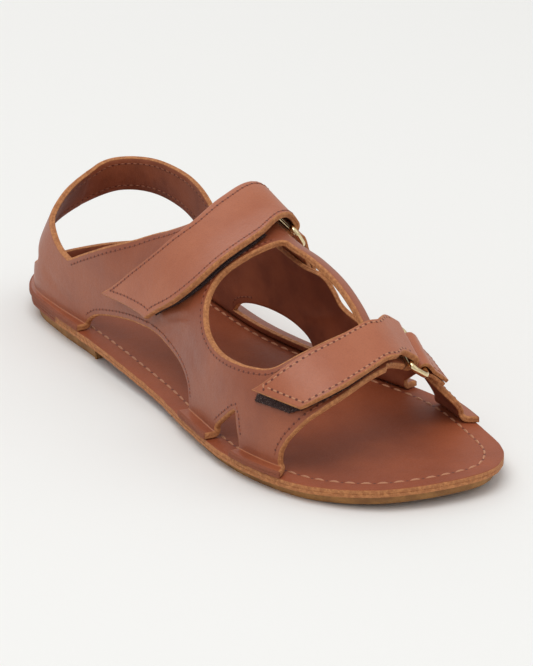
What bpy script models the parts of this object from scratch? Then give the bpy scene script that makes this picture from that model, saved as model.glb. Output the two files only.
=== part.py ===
"""A walking sandal for the right foot: leather footbed, wrapped leather upper and two strap fastenings.

X points to the outer side of the foot, Y to the toe and Z up. The tables hold shares of the named sizes.
"""
import bmesh
import bpy
import numpy as np

# Driving sizes, in metres
LENGTH = 0.255
BALL_WIDTH = 0.092
INSTEP_HEIGHT = 0.0745
FOOTBED_THICK = 0.003
HEEL_PAD_THICK = 0.005
FORE_PAD_THICK = 0.003
PAD_INSET = 0.0022
HEEL_PAD_FRONT = 0.078
HEEL_PAD_SKEW = 0.016
FORE_PAD_REAR = 0.136
FORE_PAD_SKEW = 0.006
TOE_SPRING = 0.002
PAD_TAPER = 0.001
WALL = 0.0022
FLANGE = 0.006
FLANGE_BEND = 0.0026
STRAP_THICK = 0.0022
FUZZ_THICK = 0.0009
RING_WIRE = 0.0022
RING_WIDTH = 0.0268
RING_DEPTH = 0.0105
RING_CORNER = 0.0026
TAB_LAYER = 0.0014
CLEAR = 0.0003
END_GAP = 0.0028
# The wall's stations: HEEL_TURN metres run round the heel to the place HEEL_TURN_END from its back
HEEL_TURN = 0.062
HEEL_TURN_END = 0.045
HEEL_CENTRE = -0.0075

# Where the footbed comes down from the heel pad, and where the toe springs, as shares of LENGTH
ARCH_FROM, ARCH_TO = 0.28, 0.56
SPRING_FROM, SPRING_TO = 0.84, 1.08

# Footbed outline, from the heel round the outer side to the toe and back along the inner side.
# along: share of LENGTH from the heel, across: share of BALL_WIDTH, outer side positive
OUTLINE = (
    # along, across
    (0.000, -0.082),
    (0.018, 0.090),
    (0.075, 0.225),
    (0.160, 0.278),
    (0.270, 0.310),
    (0.385, 0.345),
    (0.500, 0.385),
    (0.610, 0.452),
    (0.720, 0.500),
    (0.820, 0.480),
    (0.900, 0.400),
    (0.965, 0.240),
    (0.998, -0.020),
    (0.995, -0.200),
    (0.950, -0.345),
    (0.860, -0.445),
    (0.740, -0.500),
    (0.620, -0.455),
    (0.500, -0.385),
    (0.390, -0.352),
    (0.280, -0.375),
    (0.170, -0.405),
    (0.075, -0.370),
    (0.018, -0.250),
)

# The top line that the wall leans to, by station.
# along: share of LENGTH, ridge_x: share of BALL_WIDTH, ridge_z: share of INSTEP_HEIGHT,
# join: 0 where the top stands over the wall, 1 where both sides meet on the ridge,
# flare: outward lean of a free top in metres per metre of INSTEP_HEIGHT,
# foot: how far inside the footbed's edge the wall stands, as a share of FLANGE,
# rise and reach: length of the curve's handles on each side, as shares
LAST = (
    # along, ridge_x, ridge_z, join, flare, foot, rise_out, reach_out, rise_in, reach_in
    (-0.12, -0.100, 0.86, 0.00, -0.24, 0.55, 0.40, 0.40, 0.40, 0.40),
    (0.060, -0.100, 0.86, 0.00, -0.20, 0.58, 0.40, 0.40, 0.42, 0.40),
    (0.130, -0.100, 0.86, 0.00, -0.10, 0.70, 0.45, 0.40, 0.46, 0.40),
    (0.200, -0.100, 0.86, 0.00, -0.04, 0.85, 0.50, 0.40, 0.50, 0.40),
    (0.300, -0.110, 0.88, 0.20, 0.00, 1.00, 0.55, 0.50, 0.52, 0.46),
    (0.400, -0.120, 0.91, 0.80, 0.00, 1.00, 0.60, 0.56, 0.50, 0.42),
    (0.460, -0.125, 0.90, 1.00, 0.00, 1.00, 0.62, 0.58, 0.48, 0.40),
    (0.520, -0.095, 0.83, 1.00, 0.00, 1.00, 0.66, 0.60, 0.48, 0.42),
    (0.580, -0.065, 0.80, 1.00, 0.00, 1.00, 0.70, 0.60, 0.46, 0.42),
    (0.640, -0.055, 0.785, 1.00, 0.00, 1.00, 0.74, 0.60, 0.38, 0.36),
    (0.700, -0.050, 0.735, 1.00, 0.00, 1.00, 0.80, 0.62, 0.28, 0.27),
    (0.745, -0.035, 0.675, 1.00, 0.00, 1.00, 0.85, 0.64, 0.20, 0.20),
    (0.800, -0.005, 0.575, 1.00, 0.00, 1.00, 0.88, 0.66, 0.15, 0.15),
    (0.870, 0.020, 0.465, 1.00, 0.00, 1.00, 0.90, 0.66, 0.13, 0.13),
    (0.940, 0.030, 0.39, 1.00, 0.00, 1.00, 0.90, 0.66, 0.13, 0.13),
)

LAST_COLUMNS = "along ridge_x ridge_z join flare foot rise_out reach_out rise_in reach_in".split()

# The upper's outline on its wall, once round: from the outer root at the toe over the ridge, back along
# the collar, round the heel strap and forward along the inner side.
# around: signed station as a share of LENGTH, rise: share of the wall's height, round: 0 for a sharp corner
UPPER_EDGE = (
    # around, rise, round
    (0.910, -1.20, 0),
    (0.898, -0.20, 1),
    (0.894, 0.03, 1),
    (0.902, 0.14, 1),
    (0.914, 0.23, 1),
    (0.926, 0.33, 1),
    (0.936, 0.43, 1),
    (0.940, 0.56, 1),
    (0.936, 0.70, 1),
    (0.926, 0.88, 1),
    (0.916, 1.10, 0),
    (0.520, 1.10, 0),
    (0.520, 0.88, 1),
    (0.510, 0.75, 1),
    (0.478, 0.70, 1),
    (0.427, 0.68, 1),
    (0.376, 0.63, 1),
    (0.314, 0.51, 1),
    (0.262, 0.39, 0),
    (0.225, 0.42, 1),
    (0.185, 0.49, 1),
    (0.140, 0.55, 1),
    (0.090, 0.62, 1),
    (0.040, 0.69, 1),
    (-0.012, 0.76, 1),
    (-0.047, 0.805, 1),
    (-0.106, 0.845, 1),
    (-0.161, 0.858, 1),
    (-0.212, 0.85, 1),
    (-0.267, 0.81, 1),
    (-0.310, 0.75, 1),
    (-0.342, 0.66, 1),
    (-0.368, 0.54, 0),
    (-0.430, 0.59, 1),
    (-0.488, 0.635, 0),
    (-0.590, 0.590, 0),
    (-0.630, 0.58, 1),
    (-0.640, 0.47, 1),
    (-0.645, 0.38, 1),
    (-0.668, 0.32, 1),
    (-0.705, 0.29, 1),
    (-0.745, 0.30, 1),
    (-0.785, 0.35, 1),
    (-0.805, 0.40, 0),
    (-0.868, 0.36, 0),
    (-0.886, 0.22, 1),
    (-0.896, 0.10, 1),
    (-0.894, 0.00, 1),
    (-0.898, -0.20, 1),
    (-0.910, -1.20, 0),
)

# The openings inside that outline
INSTEP_OPENING = (
    # around, rise, round
    (0.640, 1.10, 0),
    (0.640, 0.85, 1),
    (0.637, 0.74, 1),
    (0.632, 0.65, 1),
    (0.633, 0.57, 1),
    (0.642, 0.495, 1),
    (0.657, 0.440, 1),
    (0.680, 0.390, 1),
    (0.714, 0.360, 1),
    (0.757, 0.362, 1),
    (0.804, 0.395, 1),
    (0.838, 0.46, 1),
    (0.850, 0.60, 1),
    (0.850, 0.80, 1),
    (0.842, 1.10, 0),
)
OUTER_WINDOW = (
    (0.316, -1.20, 0),
    (0.316, 0.000, 0),
    (0.326, 0.045, 1),
    (0.349, 0.105, 1),
    (0.392, 0.160, 1),
    (0.440, 0.188, 1),
    (0.495, 0.194, 1),
    (0.560, 0.188, 1),
    (0.612, 0.165, 1),
    (0.642, 0.105, 1),
    (0.648, 0.000, 0),
    (0.648, -1.20, 0),
)
INNER_WINDOW = (
    (-0.400, 0.000, 0),
    (-0.416, 0.075, 1),
    (-0.448, 0.130, 1),
    (-0.492, 0.155, 1),
    (-0.536, 0.140, 1),
    (-0.568, 0.085, 1),
    (-0.582, 0.000, 0),
)
OUTER_NOTCH = (
    (0.742, -1.20, 0),
    (0.742, 0.02, 0),
    (0.794, 0.165, 0),
    (0.806, 0.02, 0),
    (0.806, -1.20, 0),
)
INNER_NOTCH = (
    (-0.752, -1.20, 0),
    (-0.752, 0.02, 0),
    (-0.800, 0.165, 0),
    (-0.820, 0.02, 0),
    (-0.820, -1.20, 0),
)
HEEL_OPENING = (
    (0.150, 0.23, 1),
    (0.090, 0.325, 1),
    (0.030, 0.40, 1),
    (-0.050, 0.51, 1),
    (-0.105, 0.57, 1),
    (-0.160, 0.585, 1),
    (-0.215, 0.56, 1),
    (-0.262, 0.505, 1),
    (-0.296, 0.42, 1),
    (-0.255, 0.31, 1),
    (-0.175, 0.19, 1),
    (-0.100, 0.105, 1),
    (-0.020, 0.065, 1),
    (0.060, 0.080, 1),
    (0.120, 0.145, 1),
)

# Strap edges over the ridge. over: 1 at the outer base, 0 on the ridge, negative on the inner side
ANKLE_STRAP = (
    # over, rear, front (shares of LENGTH)
    (0.760, 0.282, 0.448),
    (0.680, 0.322, 0.480),
    (0.560, 0.382, 0.526),
    (0.450, 0.432, 0.554),
    (0.320, 0.460, 0.567),
    (0.150, 0.461, 0.567),
    (0.000, 0.452, 0.548),
    (-0.140, 0.445, 0.525),
    (-0.300, 0.444, 0.524),
    (-0.500, 0.444, 0.524),
)
FORE_STRAP = (
    (0.690, 0.768, 0.832),
    (0.620, 0.784, 0.852),
    (0.520, 0.795, 0.866),
    (0.400, 0.799, 0.871),
    (0.250, 0.798, 0.866),
    (0.100, 0.791, 0.857),
    (0.000, 0.785, 0.850),
    (-0.350, 0.752, 0.830),
    (-0.600, 0.752, 0.830),
)


def through(knots, values, at):
    """A smooth curve through the values at the knots, read at other places."""
    knots, values = np.asarray(knots, float), np.asarray(values, float)
    slopes = np.gradient(values, knots)
    at = np.clip(at, knots[0], knots[-1])
    i = np.clip(np.searchsorted(knots, at) - 1, 0, len(knots) - 2)
    span = knots[i + 1] - knots[i]
    f = (at - knots[i]) / span
    return (
        (1 + 2 * f) * (1 - f) ** 2 * values[i]
        + f * (1 - f) ** 2 * span * slopes[i]
        + f**2 * (3 - 2 * f) * values[i + 1]
        + f**2 * (f - 1) * span * slopes[i + 1]
    )


def closed_through(points, count):
    """A closed smooth curve through the points, as count places evenly far apart."""
    points = np.asarray(points, float)
    rounds = np.vstack([points[-3:], points, points[:4]])
    steps = np.linalg.norm(np.diff(rounds, axis=0), axis=1) ** 0.5
    knots = np.concatenate([[0], np.cumsum(steps)])
    fine = np.linspace(knots[3], knots[3 + len(points)], 4001)
    curve = np.stack([through(knots, rounds[:, k], fine) for k in (0, 1)], axis=1)
    run = np.concatenate([[0], np.cumsum(np.linalg.norm(np.diff(curve, axis=0), axis=1))])
    at = np.linspace(0, run[-1], count, endpoint=False)
    return np.stack([np.interp(at, run, curve[:, k]) for k in (0, 1)], axis=1)


def outline_points(count):
    """The footbed's outline in metres, its length along Y, the heel's back at Y 0."""
    rows = [(across * BALL_WIDTH, along * LENGTH) for along, across in OUTLINE]
    return closed_through(rows, count)


def outward(loop):
    """Unit normals of a closed loop that runs from the heel round the outer side."""
    run = np.roll(loop, -1, axis=0) - np.roll(loop, 1, axis=0)
    normal = np.stack([run[:, 1], -run[:, 0]], axis=1)
    return normal / np.linalg.norm(normal, axis=1, keepdims=True)


def evened(normals, reach):
    """Normals averaged over their neighbours, the near ones counting most, so that the wall has no kinks."""
    shifts = np.arange(-reach, reach + 1)
    weights = np.cos(shifts / (reach + 1) * np.pi / 2) ** 2
    total = sum(weight * np.roll(normals, shift, axis=0) for weight, shift in zip(weights, shifts))
    return total / np.linalg.norm(total, axis=1, keepdims=True)


def edge_tables():
    """For each side, the stations along the footbed's edge with their places and outward normals."""
    loop = outline_points(2000)
    normals = evened(outward(loop), 60)
    back, toe = np.argmin(loop[:, 1]), np.argmax(loop[:, 1])
    sides = {}
    for side, order in ((1, 1), (-1, -1)):
        count = (toe - back) % len(loop) if order == 1 else (back - toe) % len(loop)
        at = (back + order * np.arange(count)) % len(loop)
        place, normal = loop[at], normals[at]
        run = np.concatenate([[0], np.cumsum(np.linalg.norm(np.diff(place, axis=0), axis=1))])
        turn = np.interp(HEEL_TURN_END, place[:, 1], run)
        station = np.where(
            run < turn, run / turn * HEEL_TURN, place[:, 1] + HEEL_TURN - HEEL_TURN_END
        )
        sides[side] = (station, place, normal)
    return sides


EDGES = edge_tables()


def edge_at(station):
    """Place and outward normal of the footbed's edge at signed stations, outer side positive."""
    place = np.empty(station.shape + (2,))
    normal = np.empty_like(place)
    for side, (stations, places, normals) in EDGES.items():
        here = station * side >= 0
        for k in (0, 1):
            place[here, k] = np.interp(np.abs(station[here]), stations, places[:, k])
            normal[here, k] = np.interp(np.abs(station[here]), stations, normals[:, k])
    return place, normal / np.linalg.norm(normal, axis=-1, keepdims=True)


def smooth_step(value, low, high):
    share = np.clip((value - low) / (high - low), 0, 1)
    return share * share * (3 - 2 * share)


def footbed_bottom(along):
    """Height of the footbed's underside: the heel pad is thicker, and the toe springs."""
    drop = smooth_step(along, ARCH_FROM * LENGTH, ARCH_TO * LENGTH)
    spring = smooth_step(along, SPRING_FROM * LENGTH, SPRING_TO * LENGTH)
    heel, fore = HEEL_PAD_THICK + CLEAR, FORE_PAD_THICK + CLEAR
    return heel + (fore - heel) * drop + 2 * TOE_SPRING * spring


def footbed_top(along):
    return footbed_bottom(along) + FOOTBED_THICK


def last_at(along, column):
    """One column of the last's table, read along the foot."""
    rows = np.array(LAST)
    return through(rows[:, 0] * LENGTH, rows[:, LAST_COLUMNS.index(column)], along)


def foot_inset(along):
    """How far inside the footbed's edge the wall stands."""
    return FLANGE * last_at(along, "foot")


def wall_handles(station):
    """The four handles of the wall's curve at each station, from the bend up to its top."""
    edge, normal = edge_at(station)
    along = edge[..., 1]
    base = edge - normal * foot_inset(along)[..., None]
    foot = footbed_top(along) + CLEAR + FLANGE_BEND
    top_z = last_at(along, "ridge_z") * INSTEP_HEIGHT
    join = np.clip(last_at(along, "join"), 0, 1)[..., None]
    flare = last_at(along, "flare") * INSTEP_HEIGHT
    ridge = np.stack([last_at(along, "ridge_x") * BALL_WIDTH, along], axis=-1)
    top = (1 - join) * (base + normal * flare[..., None]) + join * ridge
    outer = station >= 0
    rise = np.where(outer, last_at(along, "rise_out"), last_at(along, "rise_in"))
    reach = np.where(outer, last_at(along, "reach_out"), last_at(along, "reach_in"))[..., None]
    tall = top_z - foot
    second = top + join * reach * (base - top)
    return (
        np.concatenate([base, foot[..., None]], axis=-1),
        np.concatenate([base + normal * WALL * 0.5, (foot + rise * tall)[..., None]], axis=-1),
        np.concatenate([second, (top_z - (1 - join[..., 0]) * tall / 3)[..., None]], axis=-1),
        np.concatenate([top, top_z[..., None]], axis=-1),
    )


def bezier(handles, share):
    a, b, c, d = handles
    u = share[..., None]
    return (1 - u) ** 3 * a + 3 * u * (1 - u) ** 2 * b + 3 * u * u * (1 - u) * c + u**3 * d


def wall_inside(station, rise):
    """The upper's inner face: rise -1 to 0 runs in along the flange, 0 to 1 up the wall to its top."""
    station, rise = np.broadcast_arrays(np.asarray(station, float), np.asarray(rise, float))
    edge, normal = edge_at(station)
    level = footbed_top(edge[..., 1]) + CLEAR
    flat = foot_inset(edge[..., 1]) - FLANGE_BEND
    run = (np.clip(rise, -1, 0) + 1) * (flat + FLANGE_BEND * np.pi / 2)
    angle = np.clip((run - flat) / FLANGE_BEND, 0, np.pi / 2)
    inward = np.minimum(run, flat) + FLANGE_BEND * np.sin(angle)
    low = np.concatenate(
        [edge - normal * inward[..., None], (level + FLANGE_BEND * (1 - np.cos(angle)))[..., None]], axis=-1
    )
    handles = wall_handles(station)
    shares = np.linspace(0, 1, 33)
    curve = np.stack([bezier(handles, np.full(station.shape, share)) for share in shares], axis=-2)
    steps = np.linalg.norm(np.diff(curve, axis=-2), axis=-1)
    run = np.concatenate([np.zeros(station.shape + (1,)), np.cumsum(steps, axis=-1)], axis=-1)
    run /= run[..., -1:]
    climb = np.clip(rise, 0, 1)
    i = np.clip((run <= climb[..., None]).sum(axis=-1) - 1, 0, len(shares) - 2)[..., None]
    before, after = np.take_along_axis(run, i, -1)[..., 0], np.take_along_axis(run, i + 1, -1)[..., 0]
    share = (i[..., 0] + (climb - before) / np.maximum(after - before, 1e-9)) / (len(shares) - 1)
    return np.where((rise < 0)[..., None], low, bezier(handles, share))


# The two strap fastenings.
# table: the strap's edges, tip: share of the wall where its end lies, slant: how much further over the ridge
# the tip's front corner lies, ring: share of the wall past the ridge, tab: the tab's length,
# pile_past: how far the loop pile shows beyond the tip
FASTENINGS = {
    "ankle": dict(table=ANKLE_STRAP, tip=0.680, slant=-0.060, ring=0.14, tab=0.022, pile_past=-0.02),
    "forefoot": dict(table=FORE_STRAP, tip=0.672, slant=0.045, ring=0.31, tab=0.018, pile_past=0.05),
}
HOOK_PAST = -0.03
PILE_END = 0.06
LOOP_INSET = 0.001
HOOK_INSET = 0.0012

# Levels over the upper's inner face, from the lower layer of leather to the outer one
OUTER_LAYER = WALL + CLEAR + FUZZ_THICK + CLEAR + FUZZ_THICK + CLEAR + STRAP_THICK / 2
FOLD_RADIUS = (OUTER_LAYER - WALL / 2) / 2
FOLD_HEIGHT = OUTER_LAYER - FOLD_RADIUS
PILE_LEVEL = WALL + CLEAR + FUZZ_THICK / 2
HOOK_LEVEL = PILE_LEVEL + FUZZ_THICK + CLEAR
TAB_HEIGHT = WALL + CLEAR + TAB_LAYER + CLEAR / 2
TAB_LOOP = RING_WIRE / 2 + CLEAR + TAB_LAYER / 2
TAB_NECK = 0.0065

# Spacing of the upper's mesh, and the share of it within which a point moves onto the outline
GRID = 0.0050
SNAP = 0.28
# Points round the footbed and the pads
SOLE_POINTS = 120
# A middling height of the wall, for distances on it
WALL_WIDE = 0.068
# The narrow strip's ends and edges: stations as shares of LENGTH, then rises
STRIP_REAR, STRIP_FRONT = 0.580, 0.880
STRIP_FREE_REAR, STRIP_FREE_FRONT = 0.642, 0.850
STRIP_INNER_EDGE = 0.895
STRIP_OUTER_EDGE = 0.990
OVER_THE_RIDGE = 1.1


def station_of(along):
    return along + HEEL_TURN - HEEL_TURN_END


def outline_of(rows, fine=12):
    """A closed outline in (station, rise) through the rows; round 0 marks a sharp corner."""
    rows = np.array(rows)
    count = len(rows)
    sharp = np.flatnonzero(rows[:, 2] == 0)
    if len(sharp) == 0:
        knots = np.arange(-2, count + 3)
        at = np.arange(count * fine) / fine
        wrapped = rows[knots % count]
        pieces = [np.stack([through(knots, wrapped[:, k], at) for k in (0, 1)], axis=1)]
    else:
        pieces = []
        for first, last in zip(sharp, np.append(sharp[1:], sharp[0] + count)):
            run = rows[np.arange(first, last + 1) % count]
            at = np.linspace(0, last - first, max(2, (last - first) * fine))[:-1]
            pieces.append(np.stack([through(np.arange(len(run)), run[:, k], at) for k in (0, 1)], axis=1))
    line = np.concatenate(pieces)
    return line * (LENGTH, 1.0)


def inside_by(points, line, wide):
    """Signed distance in metres to an outline, positive inside; wide is the wall's height in metres."""
    scale = np.array([1.0, wide])
    p, a = points * scale, line * scale
    b = np.roll(a, -1, axis=0)
    d = b - a
    gap = p[:, None] - a[None]
    share = np.clip((gap * d).sum(-1) / np.maximum((d * d).sum(-1), 1e-18), 0, 1)
    away = np.linalg.norm(gap - share[..., None] * d, axis=-1).min(axis=1)
    crosses = (a[None, :, 1] > p[:, None, 1]) != (b[None, :, 1] > p[:, None, 1])
    rise = np.where(np.abs(d[:, 1]) < 1e-18, 1e-18, d[:, 1])
    at = a[None, :, 0] + (p[:, None, 1] - a[None, :, 1]) / rise * d[None, :, 0]
    inside = (crosses & (p[:, None, 0] < at)).sum(axis=1) % 2 == 1
    return np.where(inside, away, -away)


def strap_edges(table, over):
    """Rear and front stations of a strap at the given places over the ridge."""
    rows = np.array(table)[::-1]
    return [through(rows[:, 0], rows[:, k] * LENGTH, over) for k in (1, 2)]


def strap_end(fastening):
    """The lower layer's piece on the inner side, from the ridge to the ring, as an outline."""
    end = fastening["ring"] - END_GAP / WALL_WIDE
    over = -np.linspace(-0.1, end, 12)
    rear, front = strap_edges(fastening["table"], over)
    inset = CLEAR
    out = np.stack([-station_of(rear + inset), 1 + over], axis=1)
    back = np.stack([-station_of(front - inset), 1 + over], axis=1)[::-1]
    return np.concatenate([out, back])


def strip_outline():
    """The narrow strip beside the ridge, as an outline on the inner side; it joins the ridge at both ends."""
    rows = (
        (-STRIP_REAR, OVER_THE_RIDGE),
        (-STRIP_REAR, STRIP_INNER_EDGE),
        (-STRIP_FRONT, STRIP_INNER_EDGE),
        (-STRIP_FRONT, OVER_THE_RIDGE),
        (-STRIP_FREE_FRONT, OVER_THE_RIDGE),
        (-STRIP_FREE_FRONT, STRIP_OUTER_EDGE),
        (-STRIP_FREE_REAR, STRIP_OUTER_EDGE),
        (-STRIP_FREE_REAR, OVER_THE_RIDGE),
    )
    return np.array(rows) * (LENGTH, 1.0)


def kept(points):
    """How far inside the leather each (station, rise) lies, in metres; negative outside it."""
    whole = inside_by(points, outline_of(UPPER_EDGE), WALL_WIDE)
    for rows in (INSTEP_OPENING, OUTER_WINDOW, INNER_WINDOW, OUTER_NOTCH, INNER_NOTCH, HEEL_OPENING):
        whole = np.minimum(whole, -inside_by(points, outline_of(rows), WALL_WIDE))
    for line in [strap_end(f) for f in FASTENINGS.values()] + [strip_outline()]:
        whole = np.maximum(whole, inside_by(points, line, WALL_WIDE))
    return whole


def clipped(points, faces, depth):
    """The part of a triangulated sheet where depth is positive, cut along the line where it is zero."""
    points, depth = list(map(tuple, points)), list(depth)
    cuts, kept_faces = {}, []

    def cut(i, j):
        key = (min(i, j), max(i, j))
        if key not in cuts:
            i, j = key
            share = depth[i] / (depth[i] - depth[j])
            points.append(tuple(np.array(points[i]) * (1 - share) + np.array(points[j]) * share))
            cuts[key] = len(points) - 1
        return cuts[key]

    for face in faces:
        ring = []
        for k in range(3):
            i, j = face[k], face[(k + 1) % 3]
            if depth[i] >= 0:
                ring.append(i)
            if (depth[i] > 0 and depth[j] < 0) or (depth[i] < 0 and depth[j] > 0):
                ring.append(cut(i, j))
        if len(ring) >= 3 and any(depth[i] > 0 for i in face):
            kept_faces.append(ring)
    return np.array(points), kept_faces


def slope_of_kept(points, step):
    """How the distance inside the leather changes along the station and up the wall."""
    here = kept(points)
    along = (kept(points + (step, 0)) - here) / step
    up = (kept(points + (0, step / WALL_WIDE)) - here) / step
    return here, np.stack([along, up], axis=1)


def pattern_mesh(stations, rises, spacing):
    """The upper's sheet in (station, rise), trimmed to its outline and openings."""
    count_s, count_r = len(stations), len(rises)
    grid = np.stack(np.meshgrid(stations, rises, indexing="ij"), axis=-1).reshape(-1, 2)
    depth = kept(grid)
    index = np.arange(count_s * count_r).reshape(count_s, count_r)
    ridge = index[:, -1]
    depth[ridge] = np.maximum(depth[ridge], depth[ridge[::-1]])
    near_edge = np.abs(depth) < SNAP * spacing
    free = near_edge & (np.abs(grid[:, 1]) < 0.999)
    for _ in range(2):
        near = grid[free]
        here, slope = slope_of_kept(near, spacing / 12)
        size = np.maximum((slope**2).sum(axis=1, keepdims=True), 0.3)
        grid[free] = near - here[:, None] * slope / size / (1.0, WALL_WIDE)
    depth[free] = 0.0
    a, b = index[:-1, :-1].ravel(), index[1:, :-1].ravel()
    c, d = index[1:, 1:].ravel(), index[:-1, 1:].ravel()
    faces = np.concatenate([np.stack([a, b, c], axis=1), np.stack([a, c, d], axis=1)])
    return clipped(grid, faces.tolist(), depth)


def over_inside(along, over):
    """The upper's inner face at a place along the foot and over the ridge."""
    along, over = np.broadcast_arrays(np.asarray(along, float), np.asarray(over, float))
    side = np.where(over >= 0, 1.0, -1.0)
    return wall_inside(side * station_of(along), 1 - np.abs(over))


def over_face(along, over, proud):
    """A place that far outside the upper's inner face, read along the foot and over the ridge."""
    d_along, d_over = 0.0012, 0.02
    across = over_inside(along, over + d_over) - over_inside(along, over - d_over)
    forward = over_inside(along + d_along, over) - over_inside(along - d_along, over)
    normal = np.cross(across, forward)
    normal /= np.linalg.norm(normal, axis=-1, keepdims=True)
    return over_inside(along, over) + normal * np.asarray(proud)[..., None]


def collection(name):
    made = bpy.data.collections.new(name)
    bpy.context.scene.collection.children.link(made)
    return made


def material(name, colour, roughness, metallic=0.0):
    made = bpy.data.materials.new(name)
    made.use_nodes = True
    shader = made.node_tree.nodes["Principled BSDF"]
    shader.inputs["Base Color"].default_value = (*colour, 1)
    shader.inputs["Roughness"].default_value = roughness
    shader.inputs["Metallic"].default_value = metallic
    return made


def mesh_object(name, points, faces, finish, where):
    """A mesh object with its doubles merged, its places already in metres in the shoe's frame."""
    mesh = bpy.data.meshes.new(name)
    shift = np.array([0.0, -LENGTH / 2, 0.0])
    mesh.from_pydata((np.asarray(points) + shift).tolist(), [], [list(map(int, f)) for f in faces])
    work = bmesh.new()
    work.from_mesh(mesh)
    bmesh.ops.remove_doubles(work, verts=work.verts, dist=1e-6)
    work.to_mesh(mesh)
    work.free()
    mesh.materials.append(finish)
    mesh.shade_smooth()
    made = bpy.data.objects.new(name, mesh)
    where.objects.link(made)
    return made


def thicken(piece, thick, offset):
    shell = piece.modifiers.new("wall", "SOLIDIFY")
    shell.thickness = thick
    shell.offset = offset
    shell.use_even_offset = False
    shell.use_rim = True


def grid_faces(count_a, count_b):
    index = np.arange(count_a * count_b).reshape(count_a, count_b)
    quads = [index[:-1, :-1], index[1:, :-1], index[1:, 1:], index[:-1, 1:]]
    return np.stack([q.ravel() for q in quads], axis=1)


def build_upper(finish, where):
    """The hollow upper: the trimmed sheet laid on the last and thickened outwards."""
    farthest = 0.968 * LENGTH
    half = np.linspace(0, farthest, int(farthest / GRID) + 1)
    stations = np.concatenate([-half[:0:-1], half])
    bend = FLANGE_BEND * np.pi / 2 / (FLANGE - FLANGE_BEND + FLANGE_BEND * np.pi / 2)
    climb = np.linspace(0, 1, int(WALL_WIDE / GRID) + 1)
    rises = np.concatenate([[-1, -(1 + bend) / 2], -bend * np.linspace(1, 0, 4)[:-1], climb])
    flat, faces = pattern_mesh(stations, rises, GRID)
    piece = mesh_object("upper", wall_inside(flat[:, 0], flat[:, 1]), faces, finish, where)
    thicken(piece, WALL, 1)
    return piece


def band(name, places, thick, finish, where):
    """A strip of leather over the foot: rows follow its length, columns its width."""
    piece = mesh_object(name, places.reshape(-1, 3), grid_faces(*places.shape[:2]), finish, where)
    thicken(piece, thick, 0)
    return piece


class RingPlace:
    """Where a ring lies: its two long sides, the fold's and the tab's, and its directions."""

    def __init__(self, fastening):
        rear, front = strap_edges(fastening["table"], np.array([-fastening["ring"]]))
        self.middle = float((rear + front)[0] / 2)
        self.width = float((front - rear)[0])
        bars = RING_DEPTH - RING_WIRE
        over = np.array([-fastening["ring"], -fastening["ring"] - bars / WALL_WIDE])
        first, second = over_face(np.full(2, self.middle), over, np.array([FOLD_HEIGHT, TAB_HEIGHT]))
        ends = over_face(self.middle + np.array([-0.01, 0.01]), np.full(2, over[0]), np.full(2, FOLD_HEIGHT))
        self.down = (second - first) / np.linalg.norm(second - first)
        ahead = ends[1] - ends[0]
        ahead -= self.down * (ahead @ self.down)
        self.ahead = ahead / np.linalg.norm(ahead)
        self.up = np.cross(self.ahead, self.down)
        self.up *= np.sign(self.up[2])
        self.centre = (first + second) / 2
        self.fold_side = self.centre - self.down * bars / 2
        self.tab_side = self.centre + self.down * bars / 2

    def beside(self, side, ahead, down, up):
        """Places given by distances from the middle of one long side."""
        ahead, down, up = np.broadcast_arrays(ahead, down, up)
        return side + ahead[..., None] * self.ahead + down[..., None] * self.down + up[..., None] * self.up


def build_strap(name, fastening, finish, where):
    """The strap's outer layer, from its tip on the outer side to the fold round the ring."""
    ring = RingPlace(fastening)
    run = np.linspace(0, 1, 25)[:, None]
    across = np.linspace(0, 1, 7)[None]
    tip, end = fastening["tip"], -fastening["ring"]
    overs = tip + (end - tip) * run - fastening["slant"] * across * (1 - run) ** 2
    rear, front = strap_edges(fastening["table"], overs)
    layer = over_face(rear + (front - rear) * across, overs, np.full(overs.shape, OUTER_LAYER))
    ahead = (across - 0.5) * ring.width
    left = (1 - run) * (tip - end) * WALL_WIDE
    straight = ring.beside(ring.fold_side, ahead, -left, FOLD_RADIUS)
    near = smooth_step(run, 0.72, 1.0)[..., None]
    turn = np.linspace(0, np.pi, 8)[1:, None]
    fold = ring.beside(ring.fold_side, ahead, FOLD_RADIUS * np.sin(turn), FOLD_RADIUS * np.cos(turn))
    whole = np.concatenate([layer * (1 - near) + straight * near, fold])
    return band(name, whole, STRAP_THICK, finish, where)


def build_pile(name, fastening, past, level, inset, finish, where):
    """A strip of hook or loop pile between the strap's two layers."""
    tip = fastening["tip"]
    run = np.linspace(0, 1, 15)
    across = np.linspace(0, 1, 7)
    fade = (1 - run) ** 2
    over = tip + past - (tip + past - PILE_END) * run
    overs = over[:, None] - fastening["slant"] * across[None] * fade[:, None]
    rear, front = strap_edges(fastening["table"], overs)
    alongs = rear + inset + (front - rear - 2 * inset) * across[None]
    return band(name, over_face(alongs, overs, np.full(alongs.shape, level)), FUZZ_THICK, finish, where)


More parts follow.
